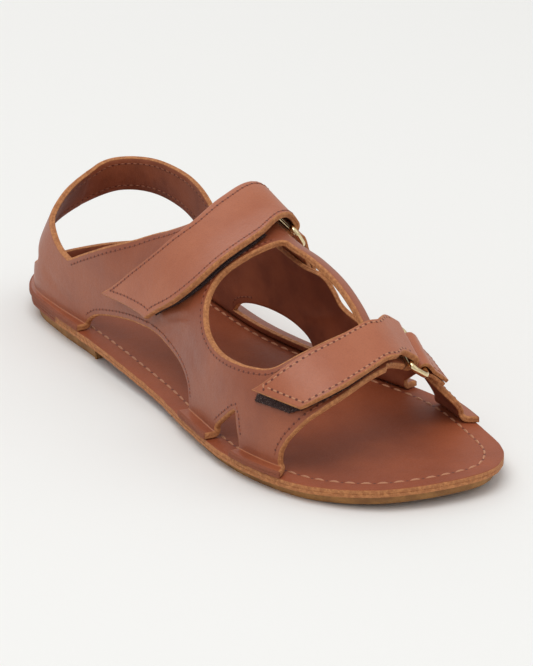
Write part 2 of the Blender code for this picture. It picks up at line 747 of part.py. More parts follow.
def build_ring(name, fastening, finish, where):
    """An oval wire ring: one long side lies in the strap's fold, the other in the tab's loop."""
    ring = RingPlace(fastening)
    half = np.array([RING_WIDTH, RING_DEPTH]) / 2 - RING_WIRE / 2 - RING_CORNER
    turn = np.linspace(0, np.pi / 2, 5)
    corner = RING_CORNER * np.stack([np.cos(turn), np.sin(turn)], axis=1)
    quarters = ((1, 1), (-1, 1), (-1, -1), (1, -1))
    path = np.concatenate([((half + corner) * q)[:: q[0] * q[1]] for q in quarters])
    curve = bpy.data.curves.new(name, "CURVE")
    curve.dimensions = "3D"
    curve.bevel_depth = RING_WIRE / 2
    curve.bevel_resolution = 2
    spline = curve.splines.new("POLY")
    spline.points.add(len(path) - 1)
    places = ring.beside(ring.centre, path[:, 0], path[:, 1], 0.0) + (0.0, -LENGTH / 2, 0.0)
    for point, place in zip(spline.points, places):
        point.co = (*place, 1)
    spline.use_cyclic_u = True
    curve.materials.append(finish)
    made = bpy.data.objects.new(name, curve)
    where.objects.link(made)
    return made


def build_tab(name, fastening, finish, where):
    """A folded leather tab: two layers stitched to the inner side, with a loop round the ring."""
    ring = RingPlace(fastening)
    lie = (CLEAR + TAB_LAYER) / 2
    x = np.concatenate([np.linspace(fastening["tab"], TAB_NECK, 5)[:-1], np.linspace(TAB_NECK, 0, 5)])
    open_by = lie + (TAB_LOOP - lie) * (1 - smooth_step(x, 0, TAB_NECK))
    turn = np.linspace(0, np.pi, 9)[1:-1]
    run = np.concatenate([x, -TAB_LOOP * np.sin(turn), x[::-1]])[:, None]
    proud = np.concatenate([open_by, TAB_LOOP * np.cos(turn), -open_by[::-1]])[:, None]
    width = RING_WIDTH - 2 * RING_WIRE - RING_DEPTH / 2
    ahead = np.linspace(-width / 2, width / 2, 5)[None]
    bar = -fastening["ring"] - (RING_DEPTH - RING_WIRE) / WALL_WIDE
    laid = over_face(ring.middle + ahead, bar - run / WALL_WIDE + 0 * ahead, TAB_HEIGHT + proud + 0 * ahead)
    straight = ring.beside(ring.tab_side, ahead, run, proud)
    far = smooth_step(run, 0.3 * TAB_NECK, 1.5 * TAB_NECK)[..., None]
    return band(name, straight * (1 - far) + laid * far, TAB_LAYER, finish, where)


def slab(name, rings, low, high, finish, where):
    """A flat solid from the outline inwards; rings are (inset at the top, inset at the bottom)."""
    loop = outline_points(SOLE_POINTS)
    normals = outward(loop)
    spine = np.stack(
        [
            np.interp(loop[:, 1], (0, 0.3 * LENGTH, LENGTH), (HEEL_CENTRE, 0.0, 0.0)),
            np.clip(loop[:, 1], 0.13 * LENGTH, 0.86 * LENGTH),
        ],
        axis=1,
    )
    top_edge, low_edge = loop - normals * rings[0], loop - normals * rings[1]
    shares = (1.0, 0.68, 0.32)
    rows = [(spine + (top_edge - spine) * k, high) for k in shares[::-1]]
    rows += [(spine + (low_edge - spine) * k, low) for k in shares]
    places = np.concatenate(
        [np.concatenate([xy, level(xy[:, 1])[:, None]], axis=1) for xy, level in rows]
    )
    count = len(loop)
    index = np.arange(len(rows) * count).reshape(len(rows), count)
    a, b = index[:-1], index[1:]
    faces = np.stack([a, b, np.roll(b, -1, axis=1), np.roll(a, -1, axis=1)], axis=-1).reshape(-1, 4)
    caps = [index[0].tolist(), index[-1][::-1].tolist()]
    return mesh_object(name, places, faces.tolist() + caps, finish, where)


def box_cutter(name, corners, finish, where):
    """A closed block with the given floor plan that a piece is cut with."""
    low, high = -HEEL_PAD_THICK, 4 * HEEL_PAD_THICK
    count = len(corners)
    places = [(x, y, low) for x, y in corners] + [(x, y, high) for x, y in corners]
    faces = [list(range(count))[::-1], list(range(count, 2 * count))]
    faces += [[k, (k + 1) % count, count + (k + 1) % count, count + k] for k in range(count)]
    cutter = mesh_object(name, places, faces, finish, where)
    cutter.hide_render = True
    cutter.display_type = "WIRE"
    return cutter


def pad_bottom(along):
    """Height of the pads' undersides: flat on the floor, with the toe's spring at the front."""
    return 2 * TOE_SPRING * smooth_step(along, SPRING_FROM * LENGTH, SPRING_TO * LENGTH)


def pad_top(along):
    return footbed_bottom(along) - CLEAR


def build_pad(name, line, skew, ahead, finish, where, cutters):
    """One of the two outsole pads: the sole's shape on one side of a slanted cut."""
    piece = slab(name, (PAD_INSET, PAD_INSET + PAD_TAPER), pad_bottom, pad_top, finish, where)
    wide, beyond = BALL_WIDTH, -LENGTH if ahead else 2 * LENGTH
    inner, outer = (-wide, line + skew), (wide, line - skew)
    far = [(wide, beyond), (-wide, beyond)]
    plan = [outer, inner, far[1], far[0]] if ahead else [inner, outer, far[0], far[1]]
    cut = piece.modifiers.new("arch", "BOOLEAN")
    cut.object = box_cutter(name + "_cutter", plan, finish, cutters)
    cut.operation = "DIFFERENCE"
    cut.solver = "EXACT"
    return piece


def main():
    for old in list(bpy.data.objects):
        bpy.data.objects.remove(old)
    parts, cutters = collection("walking_sandal"), collection("cutters")
    leather = material("leather", (0.36, 0.13, 0.07), 0.45)
    strap_leather = material("strap_leather", (0.40, 0.15, 0.08), 0.42)
    sole_leather = material("footbed_leather", (0.30, 0.10, 0.05), 0.5)
    pad_rubber = material("outsole_rubber", (0.42, 0.22, 0.09), 0.7)
    pile = material("pile", (0.04, 0.02, 0.02), 0.95)
    metal = material("ring_metal", (0.80, 0.66, 0.42), 0.25, 1.0)

    slab("footbed", (0.0, 0.0), footbed_bottom, footbed_top, sole_leather, parts)
    build_pad("outsole_heel", HEEL_PAD_FRONT, HEEL_PAD_SKEW, False, pad_rubber, parts, cutters)
    build_pad("outsole_forefoot", FORE_PAD_REAR, FORE_PAD_SKEW, True, pad_rubber, parts, cutters)
    build_upper(leather, parts)
    for name, fastening in FASTENINGS.items():
        build_strap(name + "_strap", fastening, strap_leather, parts)
        past = fastening["pile_past"]
        build_pile(name + "_loop_pile", fastening, past, PILE_LEVEL, LOOP_INSET, pile, parts)
        build_pile(name + "_hook_pile", fastening, HOOK_PAST, HOOK_LEVEL, HOOK_INSET, pile, parts)
        build_ring(name + "_ring", fastening, metal, parts)
        build_tab(name + "_tab", fastening, strap_leather, parts)


main()
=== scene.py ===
"""Looks of the walking sandal for the right foot.

The wall of the last is a formula over the footbed's outline: a station runs along the edge and a rise runs up
the wall. The pattern's cut lines lie on that wall. Fine pieces made from the same formulas stand for the
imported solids, with raw edges, seams, creases and pile. X points to the outer side, Y to the toe and Z up.
"""
import logging
import math
from dataclasses import dataclass, field
from enum import IntEnum
from functools import cached_property
from typing import Any, Callable

import bpy
import numpy as np
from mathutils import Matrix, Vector

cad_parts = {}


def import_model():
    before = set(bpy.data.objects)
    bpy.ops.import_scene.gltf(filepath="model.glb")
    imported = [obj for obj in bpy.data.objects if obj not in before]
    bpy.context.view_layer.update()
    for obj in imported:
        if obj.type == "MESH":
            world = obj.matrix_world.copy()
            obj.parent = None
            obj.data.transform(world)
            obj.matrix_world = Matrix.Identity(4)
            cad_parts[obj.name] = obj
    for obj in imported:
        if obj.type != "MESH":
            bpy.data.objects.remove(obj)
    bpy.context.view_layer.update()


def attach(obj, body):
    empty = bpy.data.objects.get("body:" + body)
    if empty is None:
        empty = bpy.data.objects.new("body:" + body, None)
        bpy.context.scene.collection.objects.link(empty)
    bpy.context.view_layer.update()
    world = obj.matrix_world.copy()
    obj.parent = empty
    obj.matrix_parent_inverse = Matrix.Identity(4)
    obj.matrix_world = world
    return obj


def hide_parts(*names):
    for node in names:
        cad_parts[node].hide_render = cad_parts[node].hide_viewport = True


log = logging.getLogger("sandal")
Colour = tuple[float, float, float]
Array = np.ndarray

# Driving sizes of the shoe, in metres, as in the part's source
LENGTH = 0.255
BALL_WIDTH = 0.092
INSTEP_HEIGHT = 0.0745
FOOTBED_THICK = 0.003
HEEL_PAD_THICK = 0.005
FORE_PAD_THICK = 0.003
TOE_SPRING = 0.002
ARCH_FROM, ARCH_TO = 0.28, 0.56
SPRING_FROM, SPRING_TO = 0.84, 1.08
WALL = 0.0022
FLANGE = 0.006
FLANGE_BEND = 0.0026
STRAP_THICK = 0.0022
FUZZ_THICK = 0.0009
RING_WIRE = 0.0022
RING_WIDTH = 0.0268
RING_DEPTH = 0.0105
TAB_LAYER = 0.0014
CLEAR = 0.0003
HEEL_TURN = 0.062
HEEL_TURN_END = 0.045
WALL_WIDE = 0.068
OUTER_LAYER = WALL + 3 * CLEAR + 2 * FUZZ_THICK + STRAP_THICK / 2
FOLD_RADIUS = (OUTER_LAYER - WALL / 2) / 2
FOLD_HEIGHT = OUTER_LAYER - FOLD_RADIUS
PILE_LEVEL = WALL + CLEAR + FUZZ_THICK / 2
HOOK_LEVEL = PILE_LEVEL + FUZZ_THICK + CLEAR
TAB_HEIGHT = WALL + 1.5 * CLEAR + TAB_LAYER
TAB_LOOP = RING_WIRE / 2 + CLEAR + TAB_LAYER / 2
TAB_NECK = 0.0065
END_GAP = 0.0028
HEEL_CENTRE = -0.0075


# Footbed outline, from the heel round the outer side to the toe and back along the inner side.
# along: share of LENGTH from the heel, across: share of BALL_WIDTH, outer side positive
OUTLINE = (
    # along, across
    (0.000, -0.082),
    (0.018, 0.090),
    (0.075, 0.225),
    (0.160, 0.278),
    (0.270, 0.310),
    (0.385, 0.345),
    (0.500, 0.385),
    (0.610, 0.452),
    (0.720, 0.500),
    (0.820, 0.480),
    (0.900, 0.400),
    (0.965, 0.240),
    (0.998, -0.020),
    (0.995, -0.200),
    (0.950, -0.345),
    (0.860, -0.445),
    (0.740, -0.500),
    (0.620, -0.455),
    (0.500, -0.385),
    (0.390, -0.352),
    (0.280, -0.375),
    (0.170, -0.405),
    (0.075, -0.370),
    (0.018, -0.250),
)

# The top line that the wall leans to, by station.
# along: share of LENGTH, ridge_x: share of BALL_WIDTH, ridge_z: share of INSTEP_HEIGHT,
# join: 0 where the top stands over the wall, 1 where both sides meet on the ridge,
# flare: outward lean of a free top in metres per metre of INSTEP_HEIGHT,
# foot: how far inside the footbed's edge the wall stands, as a share of FLANGE,
# rise and reach: length of the curve's handles on each side, as shares
LAST = (
    # along, ridge_x, ridge_z, join, flare, foot, rise_out, reach_out, rise_in, reach_in
    (-0.12, -0.100, 0.86, 0.00, -0.24, 0.55, 0.40, 0.40, 0.40, 0.40),
    (0.060, -0.100, 0.86, 0.00, -0.20, 0.58, 0.40, 0.40, 0.42, 0.40),
    (0.130, -0.100, 0.86, 0.00, -0.10, 0.70, 0.45, 0.40, 0.46, 0.40),
    (0.200, -0.100, 0.86, 0.00, -0.04, 0.85, 0.50, 0.40, 0.50, 0.40),
    (0.300, -0.110, 0.88, 0.20, 0.00, 1.00, 0.55, 0.50, 0.52, 0.46),
    (0.400, -0.120, 0.91, 0.80, 0.00, 1.00, 0.60, 0.56, 0.50, 0.42),
    (0.460, -0.125, 0.90, 1.00, 0.00, 1.00, 0.62, 0.58, 0.48, 0.40),
    (0.520, -0.095, 0.83, 1.00, 0.00, 1.00, 0.66, 0.60, 0.48, 0.42),
    (0.580, -0.065, 0.80, 1.00, 0.00, 1.00, 0.70, 0.60, 0.46, 0.42),
    (0.640, -0.055, 0.785, 1.00, 0.00, 1.00, 0.74, 0.60, 0.38, 0.36),
    (0.700, -0.050, 0.735, 1.00, 0.00, 1.00, 0.80, 0.62, 0.28, 0.27),
    (0.745, -0.035, 0.675, 1.00, 0.00, 1.00, 0.85, 0.64, 0.20, 0.20),
    (0.800, -0.005, 0.575, 1.00, 0.00, 1.00, 0.88, 0.66, 0.15, 0.15),
    (0.870, 0.020, 0.465, 1.00, 0.00, 1.00, 0.90, 0.66, 0.13, 0.13),
    (0.940, 0.030, 0.39, 1.00, 0.00, 1.00, 0.90, 0.66, 0.13, 0.13),
)

LAST_COLUMNS = "along ridge_x ridge_z join flare foot rise_out reach_out rise_in reach_in".split()

# The upper's outline on its wall, once round: from the outer root at the toe over the ridge, back along
# the collar, round the heel strap and forward along the inner side.
# around: signed station as a share of LENGTH, rise: share of the wall's height, round: 0 for a sharp corner
UPPER_EDGE = (
    # around, rise, round
    (0.910, -1.20, 0),
    (0.898, -0.20, 1),
    (0.894, 0.03, 1),
    (0.902, 0.14, 1),
    (0.914, 0.23, 1),
    (0.926, 0.33, 1),
    (0.936, 0.43, 1),
    (0.940, 0.56, 1),
    (0.936, 0.70, 1),
    (0.926, 0.88, 1),
    (0.916, 1.10, 0),
    (0.520, 1.10, 0),
    (0.520, 0.88, 1),
    (0.510, 0.75, 1),
    (0.478, 0.70, 1),
    (0.427, 0.68, 1),
    (0.376, 0.63, 1),
    (0.314, 0.51, 1),
    (0.262, 0.39, 0),
    (0.225, 0.42, 1),
    (0.185, 0.49, 1),
    (0.140, 0.55, 1),
    (0.090, 0.62, 1),
    (0.040, 0.69, 1),
    (-0.012, 0.76, 1),
    (-0.047, 0.805, 1),
    (-0.106, 0.845, 1),
    (-0.161, 0.858, 1),
    (-0.212, 0.85, 1),
    (-0.267, 0.81, 1),
    (-0.310, 0.75, 1),
    (-0.342, 0.66, 1),
    (-0.368, 0.54, 0),
    (-0.430, 0.59, 1),
    (-0.488, 0.635, 0),
    (-0.590, 0.590, 0),
    (-0.630, 0.58, 1),
    (-0.640, 0.47, 1),
    (-0.645, 0.38, 1),
    (-0.668, 0.32, 1),
    (-0.705, 0.29, 1),
    (-0.745, 0.30, 1),
    (-0.785, 0.35, 1),
    (-0.805, 0.40, 0),
    (-0.868, 0.36, 0),
    (-0.886, 0.22, 1),
    (-0.896, 0.10, 1),
    (-0.894, 0.00, 1),
    (-0.898, -0.20, 1),
    (-0.910, -1.20, 0),
)

# The openings inside that outline
INSTEP_OPENING = (
    # around, rise, round
    (0.640, 1.10, 0),
    (0.640, 0.85, 1),
    (0.637, 0.74, 1),
    (0.632, 0.65, 1),
    (0.633, 0.57, 1),
    (0.642, 0.495, 1),
    (0.657, 0.440, 1),
    (0.680, 0.390, 1),
    (0.714, 0.360, 1),
    (0.757, 0.362, 1),
    (0.804, 0.395, 1),
    (0.838, 0.46, 1),
    (0.850, 0.60, 1),
    (0.850, 0.80, 1),
    (0.842, 1.10, 0),
)
OUTER_WINDOW = (
    (0.316, -1.20, 0),
    (0.316, 0.000, 0),
    (0.326, 0.045, 1),
    (0.349, 0.105, 1),
    (0.392, 0.160, 1),
    (0.440, 0.188, 1),
    (0.495, 0.194, 1),
    (0.560, 0.188, 1),
    (0.612, 0.165, 1),
    (0.642, 0.105, 1),
    (0.648, 0.000, 0),
    (0.648, -1.20, 0),
)
INNER_WINDOW = (
    (-0.400, 0.000, 0),
    (-0.416, 0.075, 1),
    (-0.448, 0.130, 1),
    (-0.492, 0.155, 1),
    (-0.536, 0.140, 1),
    (-0.568, 0.085, 1),
    (-0.582, 0.000, 0),
)
OUTER_NOTCH = (
    (0.742, -1.20, 0),
    (0.742, 0.02, 0),
    (0.794, 0.165, 0),
    (0.806, 0.02, 0),
    (0.806, -1.20, 0),
)
INNER_NOTCH = (
    (-0.752, -1.20, 0),
    (-0.752, 0.02, 0),
    (-0.800, 0.165, 0),
    (-0.820, 0.02, 0),
    (-0.820, -1.20, 0),
)
HEEL_OPENING = (
    (0.150, 0.23, 1),
    (0.090, 0.325, 1),
    (0.030, 0.40, 1),
    (-0.050, 0.51, 1),
    (-0.105, 0.57, 1),
    (-0.160, 0.585, 1),
    (-0.215, 0.56, 1),
    (-0.262, 0.505, 1),
    (-0.296, 0.42, 1),
    (-0.255, 0.31, 1),
    (-0.175, 0.19, 1),
    (-0.100, 0.105, 1),
    (-0.020, 0.065, 1),
    (0.060, 0.080, 1),
    (0.120, 0.145, 1),
)

# Strap edges over the ridge. over: 1 at the outer base, 0 on the ridge, negative on the inner side
ANKLE_STRAP = (
    # over, rear, front (shares of LENGTH)
    (0.760, 0.282, 0.448),
    (0.680, 0.322, 0.480),
    (0.560, 0.382, 0.526),
    (0.450, 0.432, 0.554),
    (0.320, 0.460, 0.567),
    (0.150, 0.461, 0.567),
    (0.000, 0.452, 0.548),
    (-0.140, 0.445, 0.525),
    (-0.300, 0.444, 0.524),
    (-0.500, 0.444, 0.524),
)
FORE_STRAP = (
    (0.690, 0.768, 0.832),
    (0.620, 0.784, 0.852),
    (0.520, 0.795, 0.866),
    (0.400, 0.799, 0.871),
    (0.250, 0.798, 0.866),
    (0.100, 0.791, 0.857),
    (0.000, 0.785, 0.850),
    (-0.350, 0.752, 0.830),
    (-0.600, 0.752, 0.830),
)


def linear(red: int, green: int, blue: int) -> Colour:
    """Turn a colour as seen on screen into linear light.

    Args:
        red: Screen value from 0 to 255.
        green: Screen value from 0 to 255.
        blue: Screen value from 0 to 255.

    Returns:
        The three linear values, each from 0 to 1.
    """
    shares = np.array([red, green, blue]) / 255
    light = np.where(shares <= 0.04045, shares / 12.92, ((shares + 0.055) / 1.055) ** 2.4)
    return tuple(light.tolist())


def through(knots: Array, values: Array, at: Array) -> Array:
    """Read a smooth curve through given values.

    Between two knots it is the cubic whose slopes at both ends are those of the neighbours' chords.

    Args:
        knots: Rising places of the values.
        values: The values there.
        at: Places to read.

    Returns:
        The values at those places.
    """
    knots, values = np.asarray(knots, float), np.asarray(values, float)
    slopes = np.gradient(values, knots)
    at = np.clip(at, knots[0], knots[-1])
    i = np.clip(np.searchsorted(knots, at) - 1, 0, len(knots) - 2)
    span = knots[i + 1] - knots[i]
    f = (at - knots[i]) / span
    return (
        (1 + 2 * f) * (1 - f) ** 2 * values[i]
        + f * (1 - f) ** 2 * span * slopes[i]
        + f**2 * (3 - 2 * f) * values[i + 1]
        + f**2 * (f - 1) * span * slopes[i + 1]
    )


def smooth_step(value: Array, low: float, high: float) -> Array:
    """Rise smoothly from 0 at low to 1 at high, as three squares less two cubes of the share between."""
    share = np.clip((value - low) / (high - low), 0, 1)
    return share * share * (3 - 2 * share)


def unit(vectors: Array) -> Array:
    """Divide each vector by its length."""
    return vectors / np.maximum(np.linalg.norm(vectors, axis=-1, keepdims=True), 1e-12)


def run_of(places: Array) -> Array:
    """Distance along a row of places, from 0 at the first."""
    return np.concatenate([[0], np.cumsum(np.linalg.norm(np.diff(places, axis=0), axis=1))])


def spread(run: Array, values: Array, at: Array) -> Array:
    """Read each column of values at other distances along their run."""
    return np.stack([np.interp(at, run, column) for column in values.T], axis=1)


def outline_loop(count: int) -> Array:
    """Places round the footbed, evenly far apart.

    A closed smooth curve runs through the outline table, with knots spaced by the root of each chord.

    Args:
        count: How many places.

    Returns:
        Their X and Y in metres, the heel's back at Y 0, from the heel round the outer side.
    """
    rows = np.array([(across * BALL_WIDTH, along * LENGTH) for along, across in OUTLINE])
    rounds = np.vstack([rows[-3:], rows, rows[:4]])
    knots = np.concatenate([[0], np.cumsum(np.linalg.norm(np.diff(rounds, axis=0), axis=1) ** 0.5)])
    fine = np.linspace(knots[3], knots[3 + len(rows)], 4001)
    curve = np.stack([through(knots, rounds[:, k], fine) for k in (0, 1)], axis=1)
    run = run_of(curve)
    return spread(run, curve, np.linspace(0, run[-1], count, endpoint=False))


def outward(loop: Array) -> Array:
    """Unit normals of a closed loop that runs from the heel round the outer side."""
    run = np.roll(loop, -1, axis=0) - np.roll(loop, 1, axis=0)
    return unit(np.stack([run[:, 1], -run[:, 0]], axis=1))


def evened(normals: Array, reach: int) -> Array:
    """Average the normals of a closed loop over their neighbours, the near ones counting most.

    Args:
        normals: The normals.
        reach: How many neighbours on each side count.

    Returns:
        The evened unit normals.
    """
    shifts = np.arange(-reach, reach + 1)
    weights = np.cos(shifts / (reach + 1) * np.pi / 2) ** 2
    return unit(sum(weight * np.roll(normals, shift, axis=0) for weight, shift in zip(weights, shifts)))


def station_of(along: Array) -> Array:
    """Station of a place along the foot, ahead of the heel's turn."""
    return along + HEEL_TURN - HEEL_TURN_END


class Last:
    """The form that the leather lies on: the footbed's edge, the wall over it and the ridge on top."""

    def __init__(self) -> None:
        """Measure the footbed's edge on both sides and read the last's table."""
        self.rows = np.array(LAST)
        loop = outline_loop(2000)
        normals = evened(outward(loop), 60)
        back, toe = int(np.argmin(loop[:, 1])), int(np.argmax(loop[:, 1]))
        self.sides: dict[int, tuple[Array, Array]] = {}
        for side in (1, -1):
            at = (back + side * np.arange((side * (toe - back)) % len(loop))) % len(loop)
            run = run_of(loop[at])
            turn = np.interp(HEEL_TURN_END, loop[at, 1], run)
            station = np.where(run < turn, run / turn * HEEL_TURN, station_of(loop[at, 1]))
            self.sides[side] = (station, np.concatenate([loop[at], normals[at]], axis=1))

    def column(self, along: Array, name: str) -> Array:
        """Read one column of the last's table at places along the foot."""
        return through(self.rows[:, 0] * LENGTH, self.rows[:, LAST_COLUMNS.index(name)], along)

    def edge(self, station: Array) -> tuple[Array, Array]:
        """Place and outward normal of the footbed's edge.

        Args:
            station: Signed distance round the edge in metres, positive on the outer side.

        Returns:
            The X and Y of the places, and of their normals.
        """
        found = np.empty(station.shape + (4,))
        for side, (stations, values) in self.sides.items():
            here = station * side >= 0
            found[here] = spread(stations, values, np.abs(station[here]))
        return found[..., :2], unit(found[..., 2:])

    def sole_bottom(self, along: Array) -> Array:
        """Underside of the footbed: high over the heel pad, lower over the ball, and up again at the toe."""
        drop = smooth_step(along, ARCH_FROM * LENGTH, ARCH_TO * LENGTH)
        heel, fore = HEEL_PAD_THICK + CLEAR, FORE_PAD_THICK + CLEAR
        return heel + (fore - heel) * drop + self.toe_spring(along)

    def toe_spring(self, along: Array) -> Array:
        """How far the toe end has left the floor."""
        return 2 * TOE_SPRING * smooth_step(along, SPRING_FROM * LENGTH, SPRING_TO * LENGTH)

    def sole_top(self, along: Array) -> Array:
        """Top face of the footbed."""
        return self.sole_bottom(along) + FOOTBED_THICK

    def handles(self, station: Array) -> list[Array]:
        """The wall's curve at each station, as the four handles of a cubic.

        It starts upright at its foot. Its top is a free edge that leans out by the flare, or the ridge,
        which it reaches level.

        Args:
            station: Signed stations.

        Returns:
            The four handles, from the foot to the top.
        """
        edge, normal = self.edge(station)
        along = edge[..., 1]
        base = edge - normal * (FLANGE * self.column(along, "foot"))[..., None]
        foot = self.sole_top(along) + CLEAR + FLANGE_BEND
        top_z = self.column(along, "ridge_z") * INSTEP_HEIGHT
        join = np.clip(self.column(along, "join"), 0, 1)[..., None]
        flare = self.column(along, "flare") * INSTEP_HEIGHT
        ridge = np.stack([self.column(along, "ridge_x") * BALL_WIDTH, along], axis=-1)
        top = (1 - join) * (base + normal * flare[..., None]) + join * ridge
        outer = station >= 0
        rise = np.where(outer, self.column(along, "rise_out"), self.column(along, "rise_in"))
        reach = np.where(outer, self.column(along, "reach_out"), self.column(along, "reach_in"))
        tall = top_z - foot
        plans = [base, base + normal * WALL * 0.5, top + join * reach[..., None] * (base - top), top]
        heights = [foot, foot + rise * tall, top_z - (1 - join[..., 0]) * tall / 3, top_z]
        return [np.concatenate([xy, z[..., None]], axis=-1) for xy, z in zip(plans, heights)]

    def inner(self, station: Array, rise: Array) -> Array:
        """The leather's inner face.

        From rise -1 to 0 it runs in over the footbed and bends up on a quarter circle. From 0 to 1 it climbs
        the wall's cubic by even shares of its length.

        Args:
            station: Signed stations in metres.
            rise: Rises from -1 to 1.

        Returns:
            Places in metres, the heel's back at Y 0.
        """
        station, rise = np.broadcast_arrays(np.asarray(station, float), np.asarray(rise, float))
        edge, normal = self.edge(station)
        flat = FLANGE * self.column(edge[..., 1], "foot") - FLANGE_BEND
        run = (np.clip(rise, -1, 0) + 1) * (flat + FLANGE_BEND * np.pi / 2)
        angle = np.clip((run - flat) / FLANGE_BEND, 0, np.pi / 2)
        inward = np.minimum(run, flat) + FLANGE_BEND * np.sin(angle)
        level = self.sole_top(edge[..., 1]) + CLEAR + FLANGE_BEND * (1 - np.cos(angle))
        low = np.concatenate([edge - normal * inward[..., None], level[..., None]], axis=-1)
        a, b, c, d = self.handles(station)

        def cubic(u: Array) -> Array:
            """Weigh the four handles by the share u."""
            u = u[..., None]
            return (1 - u) ** 3 * a + 3 * u * (1 - u) ** 2 * b + 3 * u * u * (1 - u) * c + u**3 * d

        shares = np.linspace(0, 1, 33)
        curve = np.stack([cubic(np.full(station.shape, share)) for share in shares], axis=-2)
        steps = np.linalg.norm(np.diff(curve, axis=-2), axis=-1)
        length = np.concatenate([np.zeros(station.shape + (1,)), np.cumsum(steps, axis=-1)], axis=-1)
        length /= length[..., -1:]
        climb = np.clip(rise, 0, 1)
        i = np.clip((length <= climb[..., None]).sum(axis=-1) - 1, 0, len(shares) - 2)[..., None]
        before = np.take_along_axis(length, i, -1)[..., 0]
        after = np.take_along_axis(length, i + 1, -1)[..., 0]
        share = (i[..., 0] + (climb - before) / np.maximum(after - before, 1e-9)) / (len(shares) - 1)
        return np.where((rise < 0)[..., None], low, cubic(share))

    def slopes(self, station: Array, rise: Array) -> tuple[Array, Array]:
        """How the inner face runs with the station and with the rise, as differences over small steps."""
        ahead, up = 0.0005, 0.008
        with_station = (self.inner(station + ahead, rise) - self.inner(station - ahead, rise)) / (2 * ahead)
        high, low = np.minimum(rise + up, 1), np.maximum(rise - up, -1)
        with_rise = (self.inner(station, high) - self.inner(station, low)) / (high - low)[..., None]
        return with_station, with_rise

    def over(self, along: Array, over: Array, proud: Array) -> Array:
        """Places outside the inner face, read along the foot and over the ridge.

        Args:
            along: Place along the foot in metres.
            over: 1 at the outer foot of the wall, 0 on the ridge, negative on the inner side.
            proud: Distance outside the inner face, square to it.

        Returns:
            The places in metres.
        """
        along, over = np.broadcast_arrays(np.asarray(along, float), np.asarray(over, float))

        def face(y: Array, share: Array) -> Array:
            """The inner face there."""
            return self.inner(np.where(share >= 0, 1.0, -1.0) * station_of(y), 1 - np.abs(share))

        across = face(along, over + 0.02) - face(along, over - 0.02)
        forward = face(along + 0.0012, over) - face(along - 0.0012, over)
        return face(along, over) + unit(np.cross(across, forward)) * np.asarray(proud)[..., None]


@dataclass(frozen=True)
class CutLine:
    """A closed cut line of the pattern, as rows of station, rise and 0 for a sharp corner."""

    rows: tuple[tuple[float, float, int], ...]
    fine: int = 12

    @cached_property
    def line(self) -> Array:
        """Run a smooth curve between each two sharp corners.

        Returns:
            The line as stations in metres and rises.
        """
        rows = np.array(self.rows, float)
        count = len(rows)
        sharp = np.flatnonzero(rows[:, 2] == 0)
        if len(sharp) == 0:
            at = np.arange(count * self.fine) / self.fine
            wrapped = np.arange(-2, count + 3)
            whole = [np.stack([through(wrapped, rows[wrapped % count, k], at) for k in (0, 1)], axis=1)]
        else:
            whole = []
            for first, last in zip(sharp, np.append(sharp[1:], sharp[0] + count)):
                run = rows[np.arange(first, last + 1) % count]
                at = np.linspace(0, last - first, max(2, (last - first) * self.fine))[:-1]
                whole.append(
                    np.stack([through(np.arange(len(run)), run[:, k], at) for k in (0, 1)], axis=1)
                )
        return np.concatenate(whole) * (LENGTH, 1.0)


def inside_by(points: Array, line: Array) -> Array:
    """Signed distance to a closed line on the wall, positive inside, with rises taken as lengths.

    The distance is the least one to any chord. A point lies inside where a level ray from it crosses the
    chords an odd number of times. Points are taken a few thousand at a time.

    Args:
        points: Stations in metres and rises.
        line: The closed line's corners.

    Returns:
        The distances in metres.
    """
    scale = np.array([1.0, WALL_WIDE])
    a = line * scale
    b = np.roll(a, -1, axis=0)
    d = b - a
    steep = np.where(np.abs(d[:, 1]) < 1e-18, 1e-18, d[:, 1])
    found = []
    for part in np.array_split(points * scale, max(1, len(points) // 3000)):
        gap = part[:, None] - a
        share = np.clip((gap * d).sum(-1) / np.maximum((d * d).sum(-1), 1e-18), 0, 1)
        away = np.linalg.norm(gap - share[..., None] * d, axis=-1).min(axis=1)
        crosses = (a[:, 1] > part[:, None, 1]) != (b[:, 1] > part[:, None, 1])
        at = a[:, 0] + gap[..., 1] / steep * d[:, 0]
        odd = (crosses & (part[:, None, 0] < at)).sum(axis=1) % 2 == 1
        found.append(np.where(odd, away, -away))
    return np.concatenate(found)


@dataclass(frozen=True)
class StrapPlan:
    """Where one strap lies over the ridge, and the sizes of its fastening."""

    edges: tuple[tuple[float, float, float], ...]
    tip: float
    slant: float
    ring: float
    tab: float
    pile_past: float

    def sides(self, over: Array) -> list[Array]:
        """Rear and front edge of the strap in metres along the foot, at places over the ridge."""
        rows = np.array(self.edges)[::-1]
        return [through(rows[:, 0], rows[:, k] * LENGTH, over) for k in (1, 2)]

    def lower_layer(self) -> Array:
        """Work out the cut line of the strap's lower layer on the inner side, from the ridge to the ring.

        Returns:
            Stations in metres and rises, out along the rear edge and back along the front one.
        """
        over = -np.linspace(-0.1, self.ring - END_GAP / WALL_WIDE, 12)
        rear, front = self.sides(over)
        out = np.stack([-station_of(rear + CLEAR), 1 + over], axis=1)
        back = np.stack([-station_of(front - CLEAR), 1 + over], axis=1)[::-1]
        return np.concatenate([out, back])


ANKLE = StrapPlan(ANKLE_STRAP, tip=0.680, slant=-0.060, ring=0.14, tab=0.022, pile_past=-0.02)
FOREFOOT = StrapPlan(FORE_STRAP, tip=0.672, slant=0.045, ring=0.31, tab=0.018, pile_past=0.05)
# Cut line of the narrow strip along the instep, past the ridge: stations as shares of LENGTH, and rises
STRIP = np.array(
    [
        (-0.580, 1.1),
        (-0.580, 0.895),
        (-0.880, 0.895),
        (-0.880, 1.1),
        (-0.850, 1.1),
        (-0.850, 0.990),
        (-0.642, 0.990),
        (-0.642, 1.1),
    ]
) * (LENGTH, 1.0)


